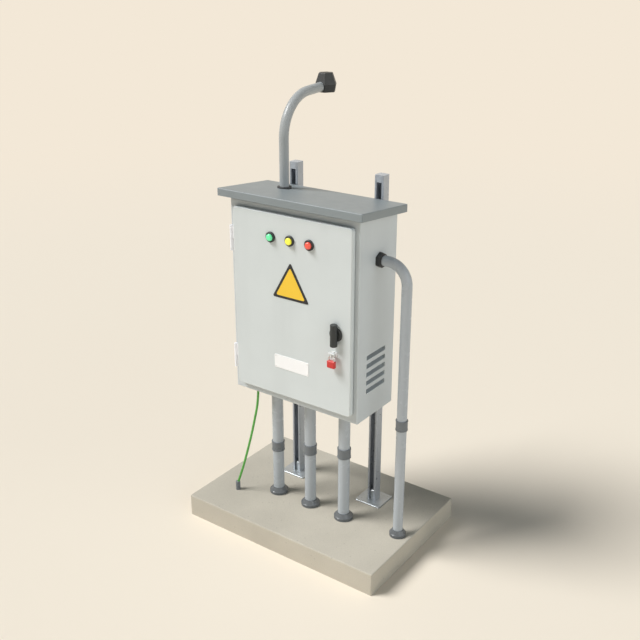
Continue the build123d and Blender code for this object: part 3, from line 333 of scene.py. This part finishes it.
@dataclass(frozen=True)
class BareMetal:
    """Plated or drawn metal with fine upright lines. The relief is a depth in millimetres."""

    name: str
    colour: Colour
    roughness: float = 0.3
    metallic: float = 1.0
    lines: Pattern = Pattern(40.0, detail=6.0)
    line_scale: Triple = (60.0, 60.0, 2.0)
    dark: float = 0.9
    light: float = 1.05
    sheen: Pattern = Pattern(90.0)
    smoother: float = 0.06
    rougher: float = 0.1
    relief: float = 0.02

    def build(self) -> bpy.types.Material:
        """Makes the material.

        Returns:
            The new material.
        """
        board = Wiring(self.name)
        board.set(Metallic=self.metallic)
        lines = board.noise(self.lines, board.stretched(self.line_scale))
        dark, light = shade(self.colour, self.dark), shade(self.colour, self.light)
        board.colour_from(board.blend(lines, self.lines, dark, light))
        board.roughness_from(self.sheen, self.roughness - self.smoother, self.roughness + self.rougher)
        board.bump([(lines, self.relief)])
        return board.material


@dataclass(frozen=True)
class MouldedPlastic:
    """Spark-textured moulding, a little greyed in patches. The grain is a depth in millimetres."""

    name: str
    colour: Colour
    roughness: float = 0.48
    grain: float = 0.04
    ior: float = 1.46
    patches: Pattern = Pattern(25.0, detail=5.0, high=0.75)
    light: float = 1.18
    sheen: Pattern = Pattern(45.0)
    smoother: float = 0.06
    rougher: float = 0.1
    sparks: Pattern = Pattern(1300.0, detail=2.0)

    def build(self) -> bpy.types.Material:
        """Makes the material.

        Returns:
            The new material.
        """
        board = Wiring(self.name)
        board.set(Metallic=0.0, IOR=self.ior)
        patches = board.noise(self.patches)
        board.colour_from(board.blend(patches, self.patches, self.colour, shade(self.colour, self.light)))
        board.roughness_from(self.sheen, self.roughness - self.smoother, self.roughness + self.rougher)
        board.bump([(board.noise(self.sparks), self.grain)])
        return board.material


@dataclass(frozen=True)
class SoftRubber:
    """Matt rubber or sheath with a fine bloom. The relief is a depth in millimetres."""

    name: str
    colour: Colour
    roughness: float = 0.6
    ior: float = 1.45
    bloom: Pattern = Pattern(35.0)
    dark: float = 0.88
    sheen: Pattern = Pattern(80.0)
    unevenness: float = 0.08
    grain: Pattern = Pattern(900.0, detail=2.0)
    relief: float = 0.03

    def build(self) -> bpy.types.Material:
        """Makes the material.

        Returns:
            The new material.
        """
        board = Wiring(self.name)
        board.set(Metallic=0.0, IOR=self.ior)
        bloom = board.noise(self.bloom)
        board.colour_from(board.blend(bloom, self.bloom, shade(self.colour, self.dark), self.colour))
        board.roughness_from(self.sheen, self.roughness - self.unevenness, self.roughness + self.unevenness)
        board.bump([(board.noise(self.grain), self.relief)])
        return board.material


@dataclass(frozen=True)
class CastConcrete:
    """Trowelled concrete with pores, blotches and a sandy grain.

    The pore is a width in millimetres, the spacing is in pores' widths, and the depths are in millimetres.
    """

    name: str
    colour: Colour
    pore: float = 7.0
    pore_spacing: float = 4.0
    pore_low: float = 0.05
    pore_high: float = 0.11
    pore_dark: float = 0.72
    pore_depth: float = 0.6
    ior: float = 1.45
    blotch: Pattern = Pattern(4.0, detail=6.0, low=0.35, high=0.68)
    blotch_dark: float = 0.9
    blotch_light: float = 1.03
    sand: Pattern = Pattern(260.0, low=0.25, high=0.75)
    sand_dark: float = 0.86
    sheen: Pattern = Pattern(30.0)
    smoothest: float = 0.82
    roughest: float = 0.95
    waves: Pattern = Pattern(40.0, detail=5.0)
    wave_depth: float = 0.5
    grit: Pattern = Pattern(300.0)
    grit_depth: float = 0.35

    def build(self) -> bpy.types.Material:
        """Makes the material.

        Returns:
            The new material.
        """
        board = Wiring(self.name)
        board.set(Metallic=0.0, IOR=self.ior)
        dark, light = shade(self.colour, self.blotch_dark), shade(self.colour, self.blotch_light)
        blotch = board.blend(board.noise(self.blotch), self.blotch, dark, light)
        sand = board.blend(board.noise(self.sand), self.sand, (self.sand_dark,) * 3, WHITE)
        spacing = self.pore_spacing * self.pore
        spots = Pattern(MM_IN_A_METRE / spacing, low=self.pore_low, high=self.pore_high)
        pores = board.blend(board.cells(spots), spots, (self.pore_dark,) * 3, WHITE)
        board.colour_from(board.multiply(board.multiply(blotch, sand), pores))
        board.roughness_from(self.sheen, self.smoothest, self.roughest)
        board.bump([(board.noise(self.waves), self.wave_depth), (board.noise(self.grit), self.grit_depth),
                    (pores, self.pore_depth)])
        return board.material


@dataclass(frozen=True)
class TintedLens:
    """A lit pilot lens: tinted, glossy, finely faceted and glowing a little.

    The relief is a depth in millimetres.
    """

    name: str
    colour: Colour
    glow: float = 0.35
    ior: float = 1.49
    coat: float = 0.6
    tint: Pattern = Pattern(300.0, detail=2.0, low=0.2, high=0.8)
    dark: float = 0.85
    sheen: Pattern = Pattern(200.0)
    smoothest: float = 0.12
    roughest: float = 0.2
    facets: Pattern = Pattern(420.0)
    relief: float = 0.15

    def build(self) -> bpy.types.Material:
        """Makes the material.

        Returns:
            The new material.
        """
        board = Wiring(self.name)
        board.set(Metallic=0.0, IOR=self.ior, Coat_Weight=self.coat)
        tint = board.blend(board.noise(self.tint), self.tint, shade(self.colour, self.dark), self.colour)
        board.colour_from(tint)
        board.tree.links.new(tint, board.shader.inputs["Emission Color"])
        board.set(Emission_Strength=self.glow)
        board.roughness_from(self.sheen, self.smoothest, self.roughest)
        board.bump([(board.cells(self.facets), self.relief)])
        return board.material


Finish = PaintedSteel | GalvanisedSteel | BareMetal | MouldedPlastic | SoftRubber | CastConcrete | TintedLens

CABINET_GREY = PaintedSteel("cabinet_powder_coat", paint(206, 212, 214), wear=0.965)
DOOR_GREY = PaintedSteel("door_powder_coat", paint(216, 222, 222), wear=0.965)
CANOPY_GREY = PaintedSteel("canopy_powder_coat", paint(140, 148, 151), wear=0.96)
# Near-white hinge paint: partly the hinges' own light grey, partly a painted reflection of the pale
# background that lifts the side the key lamp leaves in shade.
HINGE_PAINT_AND_REFLECTION = PaintedSteel("hinge_paint_and_reflection", paint(250, 250, 253), roughness=0.26, peel=0.01, wear=0.98)
PIPE_GREY = PaintedSteel("conduit_paint", paint(184, 190, 195), roughness=0.26, peel=0.015, wear=0.965)
MAST_GREY = PaintedSteel("mast_paint", paint(172, 176, 177), roughness=0.32, peel=0.015)
FITTING_GREY = PaintedSteel("fitting_paint", paint(118, 123, 127), roughness=0.28, peel=0.02)
COLLAR_GREY = PaintedSteel("collar_paint", paint(104, 108, 111), roughness=0.24, peel=0.02)
STRUT_ZINC = GalvanisedSteel("strut_zinc", paint(180, 186, 194), roughness=0.34, contrast=0.05)
PLATE_ZINC = GalvanisedSteel("plate_zinc", paint(172, 178, 182), roughness=0.34, contrast=0.06)
HARDWARE_ZINC = GalvanisedSteel("hardware_zinc", paint(180, 182, 180), spangle=4.0)
CONCRETE = CastConcrete("plinth_concrete", paint(203, 196, 181))
BLACK_MOULDING = MouldedPlastic("black_moulding", paint(44, 46, 47))
HANDLE_BLACK = MouldedPlastic("handle_black", paint(50, 53, 53), roughness=0.4)
CAP_GREY = MouldedPlastic("strut_cap_grey", paint(172, 177, 183), roughness=0.28)
SWITCH_GREY = MouldedPlastic("switchgear_grey", paint(96, 98, 100))
TERMINAL_GREY = MouldedPlastic("terminal_grey", paint(176, 176, 168))
GASKET_BLACK = SoftRubber("gasket_rubber", paint(40, 40, 42))
SEAL_BLACK = SoftRubber("seal_rubber", paint(58, 60, 62))
SHEATH_GREEN = SoftRubber("earth_sheath", paint(98, 178, 80), roughness=0.4)
EARTH_BRASS = BareMetal("earth_brass", paint(206, 176, 110))
ROD_METAL = BareMetal("earth_rod_metal", paint(96, 98, 100), roughness=0.5)
BRIGHT_STEEL = BareMetal("bright_steel", paint(215, 217, 219), roughness=0.22)
STAPLE_PLATING = BareMetal("staple_plating", paint(238, 240, 240), roughness=0.3, metallic=0.25)
SHAFT_STEEL = BareMetal("shaft_steel", paint(170, 172, 174))
PADLOCK_RED = PaintedSteel("padlock_enamel", paint(212, 58, 54), roughness=0.3, peel=0.02)
BORDER_BLACK = PaintedSteel("plate_border", paint(40, 40, 42), roughness=0.5, peel=0.02)
FIELD_YELLOW = PaintedSteel("plate_field", paint(253, 208, 60), roughness=0.45, peel=0.02, wear=0.97)
PLATE_WHITE = PaintedSteel("nameplate_face", paint(255, 255, 255), roughness=0.4, peel=0.02, wear=0.985)
LENS_GREEN = TintedLens("lens_green", paint(108, 232, 166))
LENS_YELLOW = TintedLens("lens_yellow", paint(248, 240, 76))
LENS_RED = TintedLens("lens_red", paint(232, 84, 66))


class Dresser:
    """Builds each finish once and puts it on the frame's nodes and on new pieces."""

    def __init__(self) -> None:
        """Starts with no finishes made."""
        self.made: dict[str, bpy.types.Material] = {}
        self.dressed: set[str] = set()

    def material(self, finish: Finish) -> bpy.types.Material:
        """Gives the material of a finish, built on first use.

        Args:
            finish: The finish.

        Returns:
            Its material.
        """
        if finish.name not in self.made:
            self.made[finish.name] = finish.build()
        return self.made[finish.name]

    def dress(self, finish: Finish, *nodes: str) -> None:
        """Puts a finish on nodes of the frame.

        Args:
            finish: The finish.
            nodes: The nodes' names.
        """
        for name in nodes:
            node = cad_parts[name]
            node.data.materials.clear()
            node.data.materials.append(self.material(finish))
            self.dressed.add(name)
            LOG.info("dressed %s in %s", name, finish.name)

    def piece(self, shape: bmesh.types.BMesh, name: str, finish: Finish, body: Body
              ) -> bpy.types.Object:
        """Turns a finished bmesh into a piece that rides on a body.

        Args:
            shape: The bmesh, in metres and in the row frame, freed here.
            name: The piece's name.
            finish: Its finish.
            body: The body that it rides on.

        Returns:
            The new object.
        """
        bmesh.ops.remove_doubles(shape, verts=shape.verts, dist=MERGE_DISTANCE)
        bmesh.ops.recalc_face_normals(shape, faces=shape.faces)
        mesh = bpy.data.meshes.new(name)
        shape.to_mesh(mesh)
        shape.free()
        mesh.materials.append(self.material(finish))
        made = bpy.data.objects.new(name, mesh)
        bpy.context.scene.collection.objects.link(made)
        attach(made, body.value)
        LOG.info("made %s on %s", name, body.value)
        return made


SCREW_SIDES = 18
SCREW_TOP = 0.86
RECESS_INSET = 0.42
RECESS_TAPER = 0.02
RECESS_DEPTH = 0.5


def add_screw(shape: bmesh.types.BMesh, seat: Vector, facing: Facing, radius: float, height: float) -> None:
    """Adds one low round screw head with a round recess to a bmesh.

    The top and the recess are shares of the head's radius, and the recess's depth is a share of its height.

    Args:
        shape: The bmesh to add to.
        seat: The middle of the head's underside.
        facing: The way in which the head points.
        radius: The head's radius.
        height: The head's height.
    """
    turn = Vector((0, 0, 1)).rotation_difference(Vector(facing.value)).to_matrix().to_4x4()
    place = Matrix.Translation(seat) @ turn @ Matrix.Translation((0, 0, height / 2))
    made = bmesh.ops.create_cone(shape, cap_ends=True, segments=SCREW_SIDES, radius1=radius,
                                 radius2=radius * SCREW_TOP, depth=height, matrix=place)
    faces = {f for v in made["verts"] for f in v.link_faces}
    outward = Vector(facing.value)
    top = max(faces, key=lambda f: f.calc_center_median().dot(outward))
    bmesh.ops.inset_individual(shape, faces=[top], thickness=radius * RECESS_INSET, depth=0.0)
    bmesh.ops.inset_individual(shape, faces=[top], thickness=radius * RECESS_TAPER,
                               depth=-height * RECESS_DEPTH)


@dataclass
class Plinth:
    """The cast base block."""

    def build(self, dresser: Dresser) -> None:
        """Dresses the block."""
        dresser.dress(CONCRETE, "plinth")


@dataclass
class StrutFrame:
    """Posts, rails, feet and their hardware."""

    def build(self, dresser: Dresser) -> None:
        """Dresses the steel frame.

        Args:
            dresser: Gives the finishes.
        """
        dresser.dress(STRUT_ZINC, "post_left", "post_right", "cross_rails")
        dresser.dress(CAP_GREY, "post_caps")
        dresser.dress(PLATE_ZINC, "base_plates")
        dresser.dress(HARDWARE_ZINC, "frame_bolts", "channel_nuts")


@dataclass
class CabinetShell:
    """The sheet-steel body with its canopy."""

    def build(self, dresser: Dresser) -> None:
        """Dresses the body, the canopy and its brackets."""
        dresser.dress(CABINET_GREY, "enclosure_body", "canopy_brackets")
        dresser.dress(CANOPY_GREY, "rain_canopy")


@dataclass
class DoorSet:
    """The door, its hinges and everything that it carries."""

    rivet_radius: float = 2.0 * MM
    rivet_height: float = 0.9 * MM
    rivet_inset: float = 6.0 * MM
    cylinder_radius: float = 6.0 * MM
    cylinder_height: float = 0.6 * MM

    def build(self, dresser: Dresser) -> None:
        """Dresses the door's nodes and adds its small fasteners.

        Args:
            dresser: Gives the finishes.
        """
        dresser.dress(DOOR_GREY, "door_panel")
        dresser.dress(GASKET_BLACK, "door_gasket")
        dresser.dress(HINGE_PAINT_AND_REFLECTION, "hinge_body_leaves", "hinge_door_leaves", "hinge_pins")
        dresser.dress(BLACK_MOULDING, "lamp_bezels", "lamp_ring_nuts", "handle_escutcheon")
        dresser.dress(SWITCH_GREY, "lamp_rear_blocks")
        dresser.dress(LENS_GREEN, "lamp_lens_green")
        dresser.dress(LENS_YELLOW, "lamp_lens_yellow")
        dresser.dress(LENS_RED, "lamp_lens_red")
        dresser.dress(BORDER_BLACK, "triangle_border")
        dresser.dress(FIELD_YELLOW, "triangle_field")
        dresser.dress(PLATE_WHITE, "nameplate")
        dresser.dress(HANDLE_BLACK, "handle_grip")
        dresser.dress(STAPLE_PLATING, "padlock_staple")
        dresser.dress(BRIGHT_STEEL, "padlock_shackle")
        dresser.dress(PADLOCK_RED, "padlock_body")
        self.plate_rivets(dresser)
        self.padlock_cylinder(dresser)

    def plate_rivets(self, dresser: Dresser) -> None:
        """Puts a small rivet in each corner of the blank plate.

        Args:
            dresser: Gives the finish.
        """
        low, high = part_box("nameplate")
        shape = bmesh.new()
        for x in (low.x + self.rivet_inset, high.x - self.rivet_inset):
            for z in (low.z + self.rivet_inset, high.z - self.rivet_inset):
                add_screw(shape, Vector((x, low.y, z)), Facing.FRONT, self.rivet_radius, self.rivet_height)
        dresser.piece(shape, "nameplate_rivets", BRIGHT_STEEL, Body.DOOR)

    def padlock_cylinder(self, dresser: Dresser) -> None:
        """Puts the key cylinder's low face under the padlock's body.

        Args:
            dresser: Gives the finish.
        """
        low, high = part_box("padlock_body")
        shape = bmesh.new()
        seat = Vector(((low.x + high.x) / 2, (low.y + high.y) / 2, low.z))
        add_screw(shape, seat, Facing.DOWN, self.cylinder_radius, self.cylinder_height)
        dresser.piece(shape, "padlock_cylinder", EARTH_BRASS, Body.PADLOCK_CASE)


@dataclass
class SwitchgearPanel:
    """The equipment on the mounting panel."""

    terminal_count: int = 20
    terminal_screw: float = 2.3 * MM
    terminal_screw_slimness: float = 3.0
    terminal_rise: float = 8.0 * MM
    bar_count: int = 7
    bar_screw: float = 2.6 * MM

    def build(self, dresser: Dresser) -> None:
        """Dresses the equipment inside the cabinet and adds its screws.

        Args:
            dresser: Gives the finishes.
        """
        dresser.dress(PLATE_ZINC, "mounting_panel", "din_rails")
        dresser.dress(HARDWARE_ZINC, "standoffs")
        dresser.dress(SWITCH_GREY, "isolator", "control_relay")
        dresser.dress(TERMINAL_GREY, "breaker", "terminal_row")
        dresser.dress(BLACK_MOULDING, "breaker_toggle")
        dresser.dress(SHAFT_STEEL, "isolator_shaft")
        dresser.dress(EARTH_BRASS, "earth_bar")
        self.terminal_screws(dresser)
        self.bar_screws(dresser)

    def terminal_screws(self, dresser: Dresser) -> None:
        """Puts two screws in the face of every terminal.

        Args:
            dresser: Gives the finish.
        """
        low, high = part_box("terminal_row")
        pitch = (high.x - low.x) / self.terminal_count
        shape = bmesh.new()
        for i in range(self.terminal_count):
            for rise in (-self.terminal_rise, self.terminal_rise):
                seat = Vector((low.x + (i + 0.5) * pitch, low.y, (low.z + high.z) / 2 + rise))
                height = self.terminal_screw / self.terminal_screw_slimness
                add_screw(shape, seat, Facing.FRONT, self.terminal_screw, height)
        dresser.piece(shape, "terminal_screws", BRIGHT_STEEL, Body.CABINET)

    def bar_screws(self, dresser: Dresser) -> None:
        """Puts a clamping screw over every hole of the earth bar.

        Args:
            dresser: Gives the finish.
        """
        low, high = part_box("earth_bar")
        pitch = (high.x - low.x) / (self.bar_count + 1)
        shape = bmesh.new()
        for i in range(self.bar_count):
            seat = Vector((low.x + (i + 1) * pitch, (low.y + high.y) / 2, high.z))
            add_screw(shape, seat, Facing.UP, self.bar_screw, self.bar_screw)
        dresser.piece(shape, "earth_bar_screws", EARTH_BRASS, Body.CABINET)


@dataclass
class PipeRuns:
    """Conduits, the service mast and their fittings."""

    def build(self, dresser: Dresser) -> None:
        """Dresses the tubes and fittings.

        Args:
            dresser: Gives the finishes.
        """
        dresser.dress(PIPE_GREY, "conduit_lower", "conduit_upper", "side_conduit_lower", "side_conduit_upper")
        dresser.dress(FITTING_GREY, "conduit_couplings", "conduit_hubs", "locknuts", "mast_flange",
                      "earth_clamp")
        dresser.dress(COLLAR_GREY, "conduit_collars")
        dresser.dress(MAST_GREY, "service_mast")
        dresser.dress(SEAL_BLACK, "mast_grommet", "weatherhead_insert")
        dresser.dress(BLACK_MOULDING, "side_gland", "weatherhead", "earth_gland")
        dresser.dress(ROD_METAL, "earth_rod")


@dataclass
class EarthLead:
    """The green earth wire from the cabinet's floor to the rod on the plinth, its route in millimetres."""

    diameter: float = 10.0 * MM
    route: tuple[tuple[float, float, float], ...] = (
        (-238.0, -118.0, 592.0),
        (-241.0, -119.5, 532.0),
        (-253.5, -125.5, 462.0),
        (-269.5, -133.5, 377.0),
        (-289.0, -143.0, 290.0),
        (-306.5, -151.5, 216.0),
        (-320.0, -158.2, 168.0),
        (-328.5, -162.3, 138.0),
    )
    round_steps: int = 6
    run_steps: int = 16
    order: int = 3

    def build(self, dresser: Dresser) -> None:
        """Args:
            dresser: Gives the finish.
        """
        data = bpy.data.curves.new("earth_lead", "CURVE")
        data.dimensions = "3D"
        data.bevel_depth = self.diameter / 2
        data.bevel_resolution = self.round_steps
        data.resolution_u = self.run_steps
        spline = data.splines.new("NURBS")
        spline.points.add(len(self.route) - 1)
        for point, (x, y, z) in zip(spline.points, self.route):
            point.co = (x * MM, y * MM, z * MM, 1.0)
        spline.order_u = self.order
        spline.use_endpoint_u = True
        data.materials.append(dresser.material(SHEATH_GREEN))
        lead = bpy.data.objects.new("earth_lead", data)
        bpy.context.scene.collection.objects.link(lead)
        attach(lead, Body.CABINET.value)
        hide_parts("earth_wire")
        steps = zip(self.route, self.route[1:])
        length = sum((Vector(b) - Vector(a)).length for a, b in steps) * MM
        LOG.info("made earth_lead, %.3f m", length)


@dataclass
class Studio:
    """Camera, floor and light."""

    azimuth: float = 35.77
    elevation: float = 22.05
    distance: float = 3.5639
    target: tuple[float, float, float] = (-0.0041, 0.0, 0.9257)
    lens: float = 50.0
    sensor: float = 36.0
    clip_end: float = 320.0
    background: Colour = paint(243, 232, 215)
    ambient: float = 0.15
    sky_tint: Colour = (0.86, 0.95, 1.0)
    key_strength: float = 3.2
    key_from: tuple[float, float, float] = (-0.5, -0.42, 0.757)
    key_spread: float = 26.0
    key_tint: Colour = WHITE
    fill_strength: float = 1.6
    fill_from: tuple[float, float, float] = (0.98, -0.16, 0.0)
    fill_spread: float = 80.0
    fill_tint: Colour = (0.88, 0.95, 1.0)
    floor_size: float = 160.0
    paper: Pattern = Pattern(0.6, low=0.0, high=1.0)
    paper_dark: float = 0.995
    fade_start: float = 3.0
    fade_end: float = 9.0

    def camera(self) -> None:
        """Places the camera at the photograph's angle."""
        turn, rise = radians(self.azimuth), radians(self.elevation)
        back = Vector((sin(turn) * cos(rise), -cos(turn) * cos(rise), sin(rise)))
        data = bpy.data.cameras.new("camera")
        data.lens = self.lens
        data.sensor_width = self.sensor
        data.clip_end = self.clip_end
        made = bpy.data.objects.new("camera", data)
        made.location = Vector(self.target) + back * self.distance
        made.rotation_mode = "QUATERNION"
        made.rotation_quaternion = (-back).to_track_quat("-Z", "Y")
        bpy.context.scene.collection.objects.link(made)
        bpy.context.scene.camera = made

    def floor(self) -> None:
        """Lays a wide plain floor under the plinth."""
        shape = bmesh.new()
        bmesh.ops.create_grid(shape, x_segments=1, y_segments=1, size=self.floor_size / 2)
        mesh = bpy.data.meshes.new("floor")
        shape.to_mesh(mesh)
        shape.free()
        board = Wiring("floor_paper")
        board.set(Roughness=1.0, Specular_IOR_Level=0.0)
        dark = shade(self.background, self.paper_dark)
        board.colour_from(board.blend(board.noise(self.paper), self.paper, dark, self.background))
        self.fade_out(board)
        mesh.materials.append(board.material)
        made = bpy.data.objects.new("floor", mesh)
        bpy.context.scene.collection.objects.link(made)

    def fade_out(self, board: Wiring) -> None:
        """Lets the floor turn softly into the plain background away from the object.

        Args:
            board: The floor's material.
        """
        nodes, links = board.tree.nodes, board.tree.links
        reach = nodes.new("ShaderNodeVectorMath")
        reach.operation = "LENGTH"
        links.new(board.place, reach.inputs[0])
        share = nodes.new("ShaderNodeMapRange")
        share.interpolation_type = "SMOOTHSTEP"
        share.inputs["From Min"].default_value = self.fade_start
        share.inputs["From Max"].default_value = self.fade_end
        links.new(reach.outputs["Value"], share.inputs["Value"])
        faded = nodes.new("ShaderNodeMath")
        faded.operation = "MULTIPLY"
        links.new(share.outputs["Result"], faded.inputs[0])
        links.new(self.seen_directly(board.tree), faded.inputs[1])
        plain = nodes.new("ShaderNodeEmission")
        plain.inputs["Color"].default_value = (*self.background, 1.0)
        mix = nodes.new("ShaderNodeMixShader")
        links.new(faded.outputs["Value"], mix.inputs["Fac"])
        links.new(board.shader.outputs["BSDF"], mix.inputs[1])
        links.new(plain.outputs["Emission"], mix.inputs[2])
        links.new(mix.outputs["Shader"], nodes["Material Output"].inputs["Surface"])

    def sun(self, name: str, source: Vector, strength: float, spread: float, tint: Colour) -> None:
        """Adds a soft distant lamp.

        Args:
            name: The lamp's name.
            source: The direction that the light comes from.
            strength: Its strength.
            spread: Its angular size in degrees.
            tint: Its colour.
        """
        data = bpy.data.lights.new(name, "SUN")
        data.energy = strength
        data.color = tint
        data.angle = radians(spread)
        made = bpy.data.objects.new(name, data)
        made.rotation_mode = "QUATERNION"
        made.rotation_quaternion = source.to_track_quat("Z", "Y")
        bpy.context.scene.collection.objects.link(made)

    def seen_directly(self, tree: bpy.types.NodeTree) -> bpy.types.NodeSocket:
        """Tells the rays that show the background from those that carry light.

        Args:
            tree: The node tree to add to.

        Returns:
            1 for camera, glossy and transmission rays, or else 0.
        """
        path = tree.nodes.new("ShaderNodeLightPath")
        found = path.outputs["Is Camera Ray"]
        for other in ("Is Glossy Ray", "Is Transmission Ray"):
            either = tree.nodes.new("ShaderNodeMath")
            either.operation = "MAXIMUM"
            tree.links.new(found, either.inputs[0])
            tree.links.new(path.outputs[other], either.inputs[1])
            found = either.outputs["Value"]
        return found

    def sky(self) -> None:
        """Gives plain light all round, and the pale background to what looks at it."""
        world = bpy.data.worlds.new("sky")
        bpy.context.scene.world = world
        world.use_nodes = True
        tree = world.node_tree
        seen = tree.nodes["Background"]
        seen.inputs["Color"].default_value = (*self.background, 1.0)
        seen.inputs["Strength"].default_value = 1.0
        light = tree.nodes.new("ShaderNodeBackground")
        light.inputs["Color"].default_value = (*self.sky_tint, 1.0)
        light.inputs["Strength"].default_value = self.ambient
        mix = tree.nodes.new("ShaderNodeMixShader")
        tree.links.new(self.seen_directly(tree), mix.inputs["Fac"])
        tree.links.new(light.outputs["Background"], mix.inputs[1])
        tree.links.new(seen.outputs["Background"], mix.inputs[2])
        tree.links.new(mix.outputs["Shader"], tree.nodes["World Output"].inputs["Surface"])

    def build(self) -> None:
        """Sets up the whole studio."""
        bpy.context.scene.view_settings.view_transform = "Standard"
        self.camera()
        self.floor()
        self.sun("key", Vector(self.key_from), self.key_strength, self.key_spread, self.key_tint)
        self.sun("fill", Vector(self.fill_from), self.fill_strength, self.fill_spread, self.fill_tint)
        self.sky()


def main() -> None:
    """Builds the studio and dresses every sub-assembly in turn."""
    logging.basicConfig(level=logging.INFO, format="%(message)s")
    Studio().build()
    dresser = Dresser()
    EarthLead().build(dresser)
    for assembly in (Plinth(), StrutFrame(), CabinetShell(), DoorSet(), SwitchgearPanel(), PipeRuns()):
        assembly.build(dresser)
        LOG.info("finished %s", type(assembly).__name__)
    bare = set(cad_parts) - dresser.dressed - {"earth_wire"}
    LOG.info("nodes without a finish: %s", sorted(bare) or "none")


if __name__ == "__main__":
    main()
